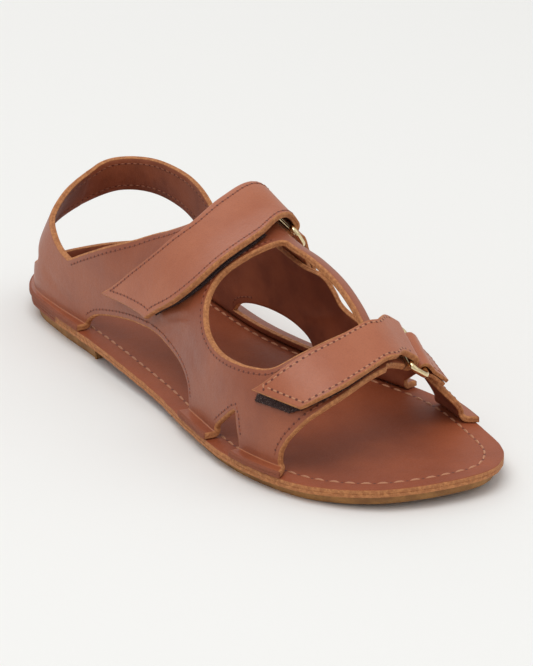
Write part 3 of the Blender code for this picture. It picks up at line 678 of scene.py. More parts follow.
class Pattern:
    """The upper's leather on the wall: one outline, its openings, and the parts added past the ridge."""

    def __init__(self) -> None:
        """Take the cut lines from the tables."""
        self.outline = CutLine(UPPER_EDGE)
        tables = (INSTEP_OPENING, OUTER_WINDOW, INNER_WINDOW, OUTER_NOTCH, INNER_NOTCH, HEEL_OPENING)
        self.openings = [CutLine(table) for table in tables]
        self.added = [ANKLE.lower_layer(), FOREFOOT.lower_layer(), STRIP]

    def depth(self, points: Array) -> Array:
        """How far inside the leather each station and rise lies, in metres; negative outside it."""
        whole = inside_by(points, self.outline.line)
        for opening in self.openings:
            whole = np.minimum(whole, -inside_by(points, opening.line))
        for line in self.added:
            whole = np.maximum(whole, inside_by(points, line))
        return whole

    def sheet(self, spacing: float, inside: float) -> tuple[Array, Array]:
        """Cut the leather out of a grid on the wall, a little inside the cut lines.

        Points near that rim move onto it along the slope of the depth, and the triangles that still
        cross it are cut there.

        Args:
            spacing: Distance between grid points in metres.
            inside: Distance of the sheet's rim from the cut lines.

        Returns:
            The points as stations and rises, and the triangles.
        """
        reach = 0.968 * LENGTH
        half = np.linspace(0, reach, int(reach / spacing) + 1)
        stations = np.concatenate([-half[:0:-1], half])
        flange = np.linspace(-1, 0, int(0.0085 / spacing) + 2)[:-1]
        rises = np.concatenate([flange, np.linspace(0, 1, int(WALL_WIDE / spacing) + 1)])
        grid = np.stack(np.meshgrid(stations, rises, indexing="ij"), axis=-1).reshape(-1, 2)
        depth = self.depth(grid) - inside
        index = np.arange(len(grid)).reshape(len(stations), len(rises))
        ridge = index[:, -1]
        depth[ridge] = np.maximum(depth[ridge], depth[ridge[::-1]])
        free = (np.abs(depth) < 0.3 * spacing) & (np.abs(grid[:, 1]) < 0.999)
        step = spacing / 8
        for _ in range(2):
            near = grid[free]
            here = self.depth(near) - inside
            along = (self.depth(near + (step, 0)) - inside - here) / step
            up = (self.depth(near + (0, step / WALL_WIDE)) - inside - here) / step
            slope = np.stack([along, up], axis=1)
            size = np.maximum((slope**2).sum(axis=1, keepdims=True), 0.3)
            grid[free] = near - here[:, None] * slope / size / (1.0, WALL_WIDE)
        depth[free] = 0.0
        a, b = index[:-1, :-1].ravel(), index[1:, :-1].ravel()
        c, d = index[1:, 1:].ravel(), index[:-1, 1:].ravel()
        faces = np.concatenate([np.stack([a, b, c], axis=1), np.stack([a, c, d], axis=1)])
        return trimmed(grid, faces, depth)

    def seam_paths(self, last: Last, inset: float) -> list[Array]:
        """Lines a little inside each cut line.

        A place on the cut line moves square to it by the inset: the move in station and rise is solved
        from the wall's two slopes there.

        Args:
            last: The last.
            inset: Distance from the cut edge in metres.

        Returns:
            For each cut line, stations and rises round it.
        """
        paths = []
        for cut, turn in [(self.outline, 1.0)] + [(opening, -1.0) for opening in self.openings]:
            line = np.vstack([cut.line, cut.line[:1]])
            area = 0.5 * (line[:-1, 0] * line[1:, 1] - line[1:, 0] * line[:-1, 1]).sum()
            ahead, up = last.slopes(line[:, 0], np.clip(line[:, 1], -1, 1))
            heading = np.gradient(line, axis=0)
            run = unit(heading[:, :1] * ahead + heading[:, 1:] * up)
            inward = np.cross(unit(np.cross(ahead, up)), run) * np.sign(area) * turn
            grams = [[(p * q).sum(-1) for q in (ahead, up)] for p in (ahead, up)]
            wants = [(inward * p).sum(-1) * inset for p in (ahead, up)]
            scale = grams[0][0] * grams[1][1] - grams[0][1] ** 2
            moved = [
                (wants[0] * grams[1][1] - wants[1] * grams[0][1]) / scale,
                (wants[1] * grams[0][0] - wants[0] * grams[0][1]) / scale,
            ]
            paths.append(line + np.stack(moved, axis=1))
        return paths


def trimmed(points: Array, faces: Array, depth: Array) -> tuple[Array, Array]:
    """Keep the part of a triangle sheet where depth is positive.

    A triangle with one corner inside leaves a triangle, one with two leaves two triangles. Each cut lies
    where depth is zero on the line between its two ends.

    Args:
        points: Places, one row each.
        faces: Triangles.
        depth: Depth of each place.

    Returns:
        The places and the triangles that are left, with doubles merged.
    """
    faces = faces[(depth[faces] > 0).any(axis=1)]
    inside = depth[faces] >= 0
    count = inside.sum(axis=1)

    def turned(rows: Array, first: Array) -> Array:
        """Turn each triangle so that its column first leads."""
        return np.take_along_axis(rows, (first[:, None] + np.arange(3)) % 3, axis=1)

    def cut(i: Array, j: Array) -> Array:
        """The zero place between an inside point i and an outside point j."""
        share = depth[i] / (depth[i] - depth[j])
        return points[i] + share[:, None] * (points[j] - points[i])

    one = turned(faces[count == 1], inside[count == 1].argmax(axis=1)).T
    two = turned(faces[count == 2], (~inside[count == 2]).argmax(axis=1)).T
    corners = [
        points[faces[count == 3]],
        np.stack([points[one[0]], cut(one[0], one[1]), cut(one[0], one[2])], axis=1),
        np.stack([cut(two[1], two[0]), points[two[1]], points[two[2]]], axis=1),
        np.stack([cut(two[1], two[0]), points[two[2]], cut(two[2], two[0])], axis=1),
    ]
    return welded(np.concatenate(corners).reshape(-1, points.shape[1]), 1e-7)


def welded(soup: Array, within: float) -> tuple[Array, Array]:
    """Merge the equal corners of a row of triangles.

    Args:
        soup: Corners, three rows to a triangle.
        within: Places this near count as one.

    Returns:
        The places and the triangles without empty ones.
    """
    _, first, index = np.unique(np.round(soup / within), axis=0, return_index=True, return_inverse=True)
    faces = index.reshape(-1, 3)
    whole = (faces != np.roll(faces, 1, axis=1)).all(axis=1)
    return soup[first], faces[whole]


class Face(IntEnum):
    """Which finish a face of a leather sheet takes."""

    GRAIN = 0
    LINING = 1
    EDGE = 2


# Cut edges: share of the thickness from the top, inset in metres. Two glued layers have a dent between them.
TWO_LAYERS = (
    (0.00, 0.00080),
    (0.07, 0.00042),
    (0.17, 0.00014),
    (0.30, 0.00002),
    (0.47, 0.00001),
    (0.54, 0.00014),
    (0.61, 0.00002),
    (0.86, 0.0),
    (0.95, 0.00008),
    (1.00, 0.00025),
)
STRAP_EDGE = (
    (0.00, 0.00042),
    (0.08, 0.00018),
    (0.20, 0.00004),
    (0.46, 0.0),
    (0.53, 0.00014),
    (0.60, 0.0),
    (0.88, 0.0),
    (0.96, 0.00008),
    (1.00, 0.00025),
)
ONE_LAYER = ((0.00, 0.00020), (0.08, 0.00006), (0.25, 0.0), (0.75, 0.0), (0.92, 0.00006), (1.00, 0.00020))
SOFT_EDGE = ((0.00, 0.00025), (0.5, 0.0), (1.00, 0.00025))


def make_piece(name: str, points: Array, faces: list[Array], kinds: Array | None = None) -> bpy.types.Object:
    """Put worked out places and faces into a mesh object in the shoe's frame.

    Args:
        name: The piece's name.
        points: Places with the heel's back at Y 0.
        faces: Groups of faces, each an array with one row a face.
        kinds: Finish number of each face.

    Returns:
        The object, at the origin.
    """
    mesh = bpy.data.meshes.new(name)
    places = points - (0.0, LENGTH / 2, 0.0)
    mesh.from_pydata(places.tolist(), [], [row for group in faces for row in group.tolist()])
    if kinds is not None:
        mesh.polygons.foreach_set("material_index", kinds.astype(np.int32))
    mesh.shade_smooth()
    mesh.set_sharp_from_angle(angle=math.radians(38))
    made = bpy.data.objects.new(name, mesh)
    bpy.context.scene.collection.objects.link(made)
    return made


def add_map(piece: bpy.types.Object, values: Array) -> None:
    """Give a piece a UV map from one pair of values a vertex.

    Args:
        piece: The piece.
        values: The pairs, in the order of its vertices.
    """
    mesh = piece.data
    corners = np.empty(len(mesh.loops), np.int32)
    mesh.loops.foreach_get("vertex_index", corners)
    layer = mesh.uv_layers.new(name="on_leather")
    layer.data.foreach_set("uv", values[corners].astype(np.float32).ravel())


@dataclass
class ThickSheet:
    """A face with its normals, made into a closed sheet with a shaped cut edge.

    The top lies high along the normals and the underside low along them. Between their rims run rows of
    quads: each row is a share of the way down, drawn in by the edge profile's inset from the cut edge,
    which lies outside the points' rim by the distance inside.
    """

    points: Array
    normals: Array
    faces: Array
    low: float
    high: float
    profile: tuple[tuple[float, float], ...] = TWO_LAYERS
    inside: float = 0.0

    def rim(self) -> tuple[Array, Array]:
        """Find the rim.

        Returns:
            Its directed edges as pairs of points, and each point's outward direction in the face.
        """
        count = len(self.points)
        pairs = np.stack([self.faces, np.roll(self.faces, -1, axis=1)], axis=-1).reshape(-1, 2)
        lone = ~np.isin(pairs[:, 0] * count + pairs[:, 1], pairs[:, 1] * count + pairs[:, 0])
        edges = pairs[lone]
        heading = unit(self.points[edges[:, 1]] - self.points[edges[:, 0]])
        out = np.zeros_like(self.points)
        for end in (0, 1):
            np.add.at(out, edges[:, end], np.cross(heading, self.normals[edges[:, end]]))
        return edges, unit(out)

    def build(self, name: str, values: Array | None = None) -> bpy.types.Object:
        """Make the piece.

        Args:
            name: Its name.
            values: A pair of values a point for its UV map.

        Returns:
            The piece, its faces numbered by Face.
        """
        edges, out = self.rim()
        count = len(self.points)
        rim = np.unique(edges)
        rank = np.zeros(count, int)
        rank[rim] = np.arange(len(rim))
        rows = []
        for level, inset in ((self.high, self.profile[0][1]), (self.low, self.profile[-1][1])):
            moved = self.points.copy()
            moved[rim] += out[rim] * (self.inside - inset)
            rows.append(moved + self.normals * level)
        for share, inset in self.profile[1:-1]:
            level = self.high + (self.low - self.high) * share
            rows.append(self.points[rim] + out[rim] * (self.inside - inset) + self.normals[rim] * level)
        inner = [2 * count + k * len(rim) + rank[edges] for k in range(len(self.profile) - 2)]
        levels = [edges] + inner + [edges + count]
        sides = [
            np.stack([above[:, 1], above[:, 0], below[:, 0], below[:, 1]], axis=1)
            for above, below in zip(levels, levels[1:])
        ]
        faces = [self.faces, self.faces[:, ::-1] + count, np.concatenate(sides)]
        kinds = np.repeat([Face.GRAIN, Face.LINING, Face.EDGE], [len(group) for group in faces])
        piece = make_piece(name, np.concatenate(rows), faces, kinds)
        if values is not None:
            add_map(piece, np.concatenate([values, values] + [values[rim]] * (len(self.profile) - 2)))
        return piece


@dataclass
class Surface:
    """A strip of leather as a function of two shares: u along it and v across it."""

    at: Callable[[Array, Array], Array]

    def normal(self, u: Array, v: Array) -> Array:
        """Take unit normals from differences over small steps along and across.

        Args:
            u: Shares along the strip.
            v: Shares across it.

        Returns:
            The normals.
        """
        step = 0.004
        along = self.at(np.minimum(u + step, 1), v) - self.at(np.maximum(u - step, 0), v)
        across = self.at(u, np.minimum(v + step, 1)) - self.at(u, np.maximum(v - step, 0))
        return unit(np.cross(across, along))

    def sheet(self, u: Array, v: Array, low: float, high: float, profile: Any = TWO_LAYERS) -> ThickSheet:
        """Lay a grid over the strip.

        Args:
            u: Shares along it.
            v: Shares across it.
            low: Underside's distance along the normal.
            high: Top's distance along the normal.
            profile: Shape of the cut edge.

        Returns:
            The thick sheet.
        """
        grid_u, grid_v = (g.ravel() for g in np.meshgrid(u, v, indexing="ij"))
        index = np.arange(len(grid_u)).reshape(len(u), len(v))
        quads = [index[:-1, :-1], index[:-1, 1:], index[1:, 1:], index[1:, :-1]]
        faces = np.stack([q.ravel() for q in quads], axis=1)
        return ThickSheet(self.at(grid_u, grid_v), self.normal(grid_u, grid_v), faces, low, high, profile)


def bead(length: float, width: float, height: float, sink: float = 0.0) -> tuple[Array, list[Array]]:
    """A small closed bead: rings of six around its length, with radii on a half circle.

    Args:
        length: Size along X.
        width: Size across.
        height: Size upwards.
        sink: How far its ends dip, growing with the square of the share from the middle.

    Returns:
        Its places and faces.
    """
    lean = np.linspace(0, np.pi, 6)[1:-1, None]
    turn = np.linspace(0, 2 * np.pi, 6, endpoint=False)[None]
    x = np.cos(lean) * length / 2 + 0 * turn
    y = np.sin(lean) * np.cos(turn) * width / 2
    z = np.sin(lean) * np.sin(turn) * height / 2
    body = np.stack([x, y, z], axis=-1).reshape(-1, 3)
    whole = np.vstack([body, [[length / 2, 0, 0], [-length / 2, 0, 0]]])
    whole[:, 2] -= sink * (2 * whole[:, 0] / length) ** 2
    index = np.arange(24).reshape(4, 6)
    turned = np.roll(index, -1, axis=1)
    quads = [index[:-1], turned[:-1], turned[1:], index[1:]]
    caps = [
        np.stack([np.full(6, 24), turned[0], index[0]], axis=1),
        np.stack([np.full(6, 25), index[-1], turned[-1]], axis=1),
    ]
    return whole, [np.stack([q.ravel() for q in quads], axis=1)[:, ::-1]] + caps


@dataclass
class Row:
    """Places on a surface with a heading and a normal each, for stitches."""

    places: Array
    headings: Array
    normals: Array

    def chosen(self, mask: Array) -> "Row":
        """The part of the row where mask is true."""
        return Row(self.places[mask], self.headings[mask], self.normals[mask])

    def shifted(self, ahead: float) -> "Row":
        """The row moved along its headings."""
        return Row(self.places + self.headings * ahead, self.headings, self.normals)


def row_along(places: Array, normals: Array, pitch: float) -> Row:
    """Even steps along a line.

    Args:
        places: Dense places on the line.
        normals: The surface's normals there.
        pitch: Step in metres.

    Returns:
        The steps.
    """
    run = run_of(places)
    at = np.arange(pitch / 2, run[-1], pitch)
    reach = 0.3 * pitch
    heading = unit(spread(run, places, at + reach) - spread(run, places, at - reach))
    return Row(spread(run, places, at), heading, unit(spread(run, normals, at)))


def joined(rows: list[Row]) -> Row:
    """Several rows as one."""
    keys = ("places", "headings", "normals")
    return Row(*(np.concatenate([getattr(row, key) for row in rows]) for key in keys))


def repeated(name: str, row: Row, shape: tuple[Array, list[Array]], proud: float) -> bpy.types.Object:
    """Set a small shape at each step of a row, as one mesh.

    Args:
        name: The piece's name.
        row: The steps.
        shape: Places and faces of the shape.
        proud: Height of its middle over the surface.

    Returns:
        The piece.
    """
    places, faces = shape
    side = np.cross(row.normals, row.headings)
    middle = row.places + row.normals * proud
    whole = (
        middle[:, None]
        + row.headings[:, None] * places[:, :1]
        + side[:, None] * places[:, 1:2]
        + row.normals[:, None] * places[:, 2:]
    ).reshape(-1, 3)
    first = np.arange(len(row.places))[:, None, None] * len(places)
    return make_piece(name, whole, [(group[None] + first).reshape(-1, group.shape[1]) for group in faces])


def swept(path: Array, sides: list[Array], radius: float, around: int) -> tuple[Array, list[Array]]:
    """Carry a circle along a closed path.

    Args:
        path: Places on the path.
        sides: Two directions square to the path at each place.
        radius: The circle's radius.
        around: Places round the circle.

    Returns:
        Places and faces.
    """
    turn = np.linspace(0, 2 * np.pi, around, endpoint=False)[None, :, None]
    rings = path[:, None] + radius * (np.cos(turn) * sides[0][:, None] + np.sin(turn) * sides[1][:, None])
    index = np.arange(rings.shape[0] * around).reshape(-1, around)
    onward = np.roll(index, -1, axis=0)
    quads = [index, onward, np.roll(onward, -1, axis=1), np.roll(index, -1, axis=1)]
    return rings.reshape(-1, 3), [np.stack([q.ravel() for q in quads], axis=1)]


class Socket:
    """A number socket of a shader with arithmetic written as Python operators."""

    def __init__(self, tree: "ShaderTree", source: Any) -> None:
        """Wrap a node's output.

        Args:
            tree: The material's node tree helper.
            source: The output socket.
        """
        self.tree = tree
        self.source = source

    def _with(self, operation: str, first: Any, second: Any) -> "Socket":
        """Add one Math node and return its result."""
        return self.tree.node("ShaderNodeMath", {"operation": operation}, {0: first, 1: second})

    def __add__(self, other: Any) -> "Socket":
        """Sum of two values."""
        return self._with("ADD", self, other)

    __radd__ = __add__

    def __mul__(self, other: Any) -> "Socket":
        """Product of two values."""
        return self._with("MULTIPLY", self, other)

    __rmul__ = __mul__

    def __sub__(self, other: Any) -> "Socket":
        """Difference of two values."""
        return self._with("SUBTRACT", self, other)

    def __rsub__(self, other: Any) -> "Socket":
        """Difference with this socket taken away."""
        return self._with("SUBTRACT", other, self)

    def far_from(self, middle: Any) -> "Socket":
        """Distance of the value from a middle one."""
        return self._with("ABSOLUTE", self - middle, 0.0)


class ShaderTree:
    """One material's nodes."""

    def __init__(self, name: str) -> None:
        """Start a material with its Principled shader.

        Args:
            name: The material's name.
        """
        self.material = bpy.data.materials.new(name)
        self.material.use_nodes = True
        self.nodes = self.material.node_tree.nodes
        self.links = self.material.node_tree.links
        self.shader = self.nodes["Principled BSDF"]

    def set(self, target: Any, value: Any) -> None:
        """Give a socket a link or a plain value.

        Args:
            target: The input socket, or the name of one of the shader's own.
            value: A Socket to link, or the plain value.
        """
        target = self.shader.inputs[target] if isinstance(target, str) else target
        if isinstance(value, Socket):
            self.links.new(value.source, target)
        else:
            target.default_value = value

    def node(self, kind: str, settings: dict[str, Any], values: dict[Any, Any], out: Any = 0) -> Socket:
        """Add any node.

        Args:
            kind: Blender's type name of the node.
            settings: Properties set first.
            values: Values or links of the inputs, by name or place.
            out: Name or place of the output that is returned.

        Returns:
            The chosen output.
        """
        made = self.nodes.new(kind)
        for key, value in settings.items():
            setattr(made, key, value)
        for key, value in values.items():
            self.set(made.inputs[key], value)
        return Socket(self, made.outputs[out])

    def place(self) -> Socket:
        """Object coordinates in metres."""
        return self.node("ShaderNodeTexCoord", {}, {}, "Object")

    def on_leather(self, axis: str) -> Socket:
        """One part of the piece's own map: X for the station, Y for the rise."""
        mapped = self.node("ShaderNodeUVMap", {"uv_map": "on_leather"}, {})
        return self.node("ShaderNodeSeparateXYZ", {}, {"Vector": mapped}, axis)

    def noise(self, scale: float, detail: float = 3.0, roughness: float = 0.5, stretch: Any = None) -> Socket:
        """Noise on object coordinates.

        Args:
            scale: Features to a metre.
            detail: Octaves.
            roughness: Strength of the finer octaves.
            stretch: Factors on the three axes, or None.

        Returns:
            The noise value around one half.
        """
        place = self.place()
        if stretch is not None:
            place = self.node("ShaderNodeMapping", {}, {"Vector": place, "Scale": stretch})
        values = {"Vector": place, "Scale": scale, "Detail": detail, "Roughness": roughness}
        return self.node("ShaderNodeTexNoise", {}, values, "Fac")

    def cells(self, scale: float) -> Socket:
        """Distance to the nearest of many scattered points, on object coordinates."""
        return self.node("ShaderNodeTexVoronoi", {}, {"Vector": self.place(), "Scale": scale}, "Distance")

    def mix(self, share: Any, first: Any, second: Any) -> Socket:
        """Mix two colours.

        Args:
            share: Share of the second colour.
            first: First colour.
            second: Second colour.

        Returns:
            The mixed colour.
        """
        made = self.nodes.new("ShaderNodeMix")
        made.data_type = "RGBA"
        for key, value in ((0, share), (6, first), (7, second)):
            colour = value if isinstance(value, Socket) or key == 0 else (*value, 1)
            self.set(made.inputs[key], colour)
        return Socket(self, made.outputs[2])

    def ramp(self, value: Socket, low: float, high: float) -> Socket:
        """Spread the values between low and high smoothly over 0 to 1.

        Args:
            value: The value to read.
            low: What becomes 0.
            high: What becomes 1.

        Returns:
            The spread value.
        """
        limits = {"Value": value, "From Min": low, "From Max": high}
        return self.node("ShaderNodeMapRange", {"interpolation_type": "SMOOTHSTEP"}, limits)

    def bump(self, height: Socket, depth: float, under: Socket | None = None) -> Socket:
        """Bump from a height.

        Args:
            height: Height from 0 to 1.
            depth: Metres that a height of 1 stands for.
            under: Normal of a coarser bump below this one.

        Returns:
            The bumped normal.
        """
        values = {"Height": height, "Distance": depth, "Strength": 1.0}
        if under is not None:
            values["Normal"] = under
        return self.node("ShaderNodeBump", {}, values)


@dataclass(frozen=True)
class GrainLeather:
    """Smooth cowhide: soft mottling, pores, faint creases and a light wax coat."""

    name: str
    colour: Colour
    deep: Colour
    roughness: float = 0.40
    shine: float = 0.5
    # Pale tan line on the bend where the upper turns out onto the flange: partly the stitches sunk in that
    # crease, partly a painted highlight on the bend.
    bend_stitches_and_highlight: bool = False

    def build(self) -> bpy.types.Material:
        """Make the material.

        Returns:
            The leather material.
        """
        tree = ShaderTree(self.name)
        cloud = tree.ramp(tree.noise(30.0, 4.0, 0.55), 0.32, 0.70)
        grain = tree.cells(1500.0)
        pore = tree.noise(3300.0, 2.0, 0.5)
        crease = tree.noise(150.0, 5.0, 0.58)
        colour = tree.mix(cloud, self.deep, self.colour)
        shade = tuple(0.55 * part for part in self.deep)
        colour = tree.mix(tree.ramp(pore, 0.30, 0.52) * 0.35 + 0.65, shade, colour)
        # Painted highlight, partly standing for stitches: a ragged pale tan line at rise -0.36, on the bend
        # from the flange up into the wall.
        if self.bend_stitches_and_highlight:
            ragged = tree.noise(420.0, 4.0, 0.6) * 0.16 - 0.08
            line = 1.0 - tree.ramp((tree.on_leather("Y") + ragged).far_from(-0.36), 0.05, 0.11)
            colour = tree.mix(line * 0.75, colour, linear(196, 128, 78))
        tree.set("Base Color", colour)
        tree.set("Roughness", grain * 0.12 + cloud * 0.07 + (self.roughness - 0.06))
        coarse = tree.bump(crease, 0.00030)
        tree.set("Normal", tree.bump(pore * 0.5 + grain * 0.5, 0.00005, coarse))
        tree.set("Specular IOR Level", self.shine)
        tree.set("Coat Weight", 0.2 * self.shine)
        tree.set("Coat Roughness", 0.32)
        return tree.material


@dataclass(frozen=True)
class RawEdge:
    """Cut leather: tan fibres with darker streaks and a few pale ones.

    Where the flange ends and low round the heel it is waxed like the grain.
    """

    name: str = "raw_edge"
    colour: Colour = linear(198, 132, 80)
    dark: Colour = linear(168, 104, 60)
    pale: Colour = linear(222, 168, 116)
    waxed: Colour = linear(140, 74, 47)
    heel_end: float = -0.083

    def build(self) -> bpy.types.Material:
        """Make the material.

        Returns:
            The cut edge material.
        """
        tree = ShaderTree(self.name)
        streak = tree.ramp(tree.noise(700.0, 4.0, 0.6), 0.34, 0.68)
        fibre = tree.noise(2600.0, 4.0, 0.7)
        colour = tree.mix(streak, self.dark, self.colour)
        colour = tree.mix(tree.ramp(fibre, 0.56, 0.72) * 0.6, colour, self.pale)
        above = tree.ramp(tree.on_leather("Y"), -0.995, -0.96)
        colour = tree.mix(above, self.waxed, colour)
        place = tree.place()
        along = tree.node("ShaderNodeSeparateXYZ", {}, {"Vector": place}, "Y")
        height = tree.node("ShaderNodeSeparateXYZ", {}, {"Vector": place}, "Z")
        low = 1.0 - tree.ramp(height, 0.0128, 0.0136)
        heel = (1.0 - tree.ramp(along, self.heel_end - 0.001, self.heel_end + 0.001)) * low
        tree.set("Base Color", tree.mix(heel, colour, self.waxed))
        tree.set("Roughness", fibre * 0.25 + 0.62)
        tree.set("Normal", tree.bump(fibre, 0.00025, tree.bump(streak, 0.0002)))
        return tree.material


@dataclass(frozen=True)
class Suede:
    """The dull side of leather: short nap, darker where it is rubbed."""

    name: str
    colour: Colour
    rubbed: Colour

    def build(self) -> bpy.types.Material:
        """Make the material.

        Returns:
            The lining material.
        """
        tree = ShaderTree(self.name)
        cloud = tree.ramp(tree.noise(60.0, 4.0, 0.6), 0.34, 0.68)
        nap = tree.noise(2400.0, 4.0, 0.65)
        tree.set("Base Color", tree.mix(cloud, self.rubbed, self.colour))
        tree.set("Roughness", nap * 0.2 + 0.5)
        tree.set("Normal", tree.bump(nap, 0.00012))
        return tree.material


@dataclass(frozen=True)
class Pile:
    """Dark hook and loop pile with pale specks."""

    name: str = "dark_pile"
    colour: Colour = linear(66, 42, 40)
    speck: Colour = linear(172, 152, 144)

    def build(self) -> bpy.types.Material:
        """Make the material.

        Returns:
            The pile material.
        """
        tree = ShaderTree(self.name)
        fuzz = tree.noise(2300.0, 4.0, 0.75)
        tree.set("Base Color", tree.mix(tree.ramp(fuzz, 0.57, 0.66), self.colour, self.speck))
        tree.set("Roughness", fuzz * 0.1 + 0.85)
        tree.set("Normal", tree.bump(fuzz, 0.0009))
        return tree.material


@dataclass(frozen=True)
class Thread:
    """Waxed sewing thread with a fine twist."""

    name: str
    colour: Colour
    dark: Colour

    def build(self) -> bpy.types.Material:
        """Make the material.

        Returns:
            The thread material.
        """
        tree = ShaderTree(self.name)
        twist = tree.noise(5200.0, 2.0, 0.5)
        tree.set("Base Color", tree.mix(twist, self.dark, self.colour))
        tree.set("Roughness", twist * 0.2 + 0.45)
        tree.set("Normal", tree.bump(twist, 0.00008))
        return tree.material


@dataclass(frozen=True)
class RingMetal:
    """Pale gold plated wire with faint rub marks."""

    name: str = "ring_plating"
    colour: Colour = linear(240, 226, 188)
    worn: Colour = linear(212, 186, 134)

    def build(self) -> bpy.types.Material:
        """Make the material.

        Returns:
            The plating material.
        """
        tree = ShaderTree(self.name)
        wear = tree.noise(900.0, 3.0)
        tree.set("Base Color", tree.mix(wear, self.colour, self.worn))
        tree.set("Roughness", wear * 0.14 + 0.10)
        tree.set("Metallic", 1.0)
        return tree.material


@dataclass(frozen=True)
class PadRubber:
    """Tan outsole with a rough buffed side."""

    name: str = "tan_outsole"
    colour: Colour = linear(176, 126, 72)
    dirt: Colour = linear(128, 86, 48)

    def build(self) -> bpy.types.Material:
        """Make the material.

        Returns:
            The rubber material.
        """
        tree = ShaderTree(self.name)
        cloud = tree.ramp(tree.noise(150.0, 5.0, 0.65), 0.35, 0.66)
        grit = tree.noise(1700.0, 4.0, 0.65)
        tree.set("Base Color", tree.mix(cloud * 0.7 + grit * 0.3, self.dirt, self.colour))
        tree.set("Roughness", grit * 0.2 + 0.68)
        tree.set("Normal", tree.bump(grit, 0.00025))
        return tree.material


@dataclass(frozen=True)
class Finishes:
    """All finishes of the shoe, built once."""

    upper: GrainLeather = GrainLeather(
        "upper_leather", linear(158, 86, 54), linear(138, 69, 41), bend_stitches_and_highlight=True
    )
    # The straps are the upper's leather; their lighter colour is painted sheen of the overhead light that the
    # ankle strap catches on top of the foot.
    strap: GrainLeather = GrainLeather("strap_leather", linear(176, 103, 70), linear(162, 88, 56))
    footbed: GrainLeather = GrainLeather(
        "footbed_leather", linear(158, 82, 50), linear(138, 68, 40), roughness=0.55, shine=0.3
    )
    lining: Suede = Suede("lining_leather", linear(152, 82, 52), linear(122, 62, 39))
    raw_edge: RawEdge = RawEdge()
    thread: Thread = Thread("seam_thread", linear(158, 88, 60), linear(136, 70, 46))
    lining_thread: Thread = Thread("lining_thread", linear(156, 94, 64), linear(122, 68, 44))
    bright_thread: Thread = Thread("bright_thread", linear(205, 150, 115), linear(168, 108, 76))
    # Dark beads set between stitches: painted shade standing for the inside of the needle holes.
    hole: Thread = Thread("needle_hole_shade", linear(112, 50, 30), linear(84, 34, 20))
    pile: Pile = Pile()
    metal: RingMetal = RingMetal()
    rubber: PadRubber = PadRubber()

    @cached_property
    def made(self) -> dict[str, bpy.types.Material]:
        """Every finish as a material, by the field's name."""
        return {name: getattr(self, name).build() for name in self.__dataclass_fields__}


@dataclass
class Bench:
    """Where pieces get their finishes and take their nodes' places."""

    finishes: Finishes = field(default_factory=Finishes)

    def lay(self, piece: Any, names: list[str], node: str | None = None) -> None:
        """Finish a piece and tie it to the frame.

        Args:
            piece: The piece.
            names: Finishes in the order of its face numbers.
            node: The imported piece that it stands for, or None.
        """
        for name in names:
            piece.data.materials.append(self.finishes.made[name])
        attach(piece, "root")
        if node is not None:
            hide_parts(node)
        log.info("%s: %d faces", piece.name, len(piece.data.polygons))

    def sew(self, name: str, row: Row, pitch: float, thread: str) -> None:
        """Sew one seam: a dipped bead of thread for each stitch and, between two, a dark bead that is painted
        shade for the needle hole.

        Args:
            name: The seam's name.
            row: A place for each stitch.
            pitch: Distance between stitches.
            thread: The thread's finish.
        """
        stitch = bead(0.66 * pitch, 0.00060, 0.00050, sink=0.00014)
        self.lay(repeated(name + "_thread", row, stitch, 0.00004), [thread])
        # The dark bead between stitches is painted shade for the needle hole.
        hole = bead(0.00100, 0.00092, 0.00018)
        self.lay(repeated(name + "_holes", row.shifted(pitch / 2), hole, 0.0), ["hole"])


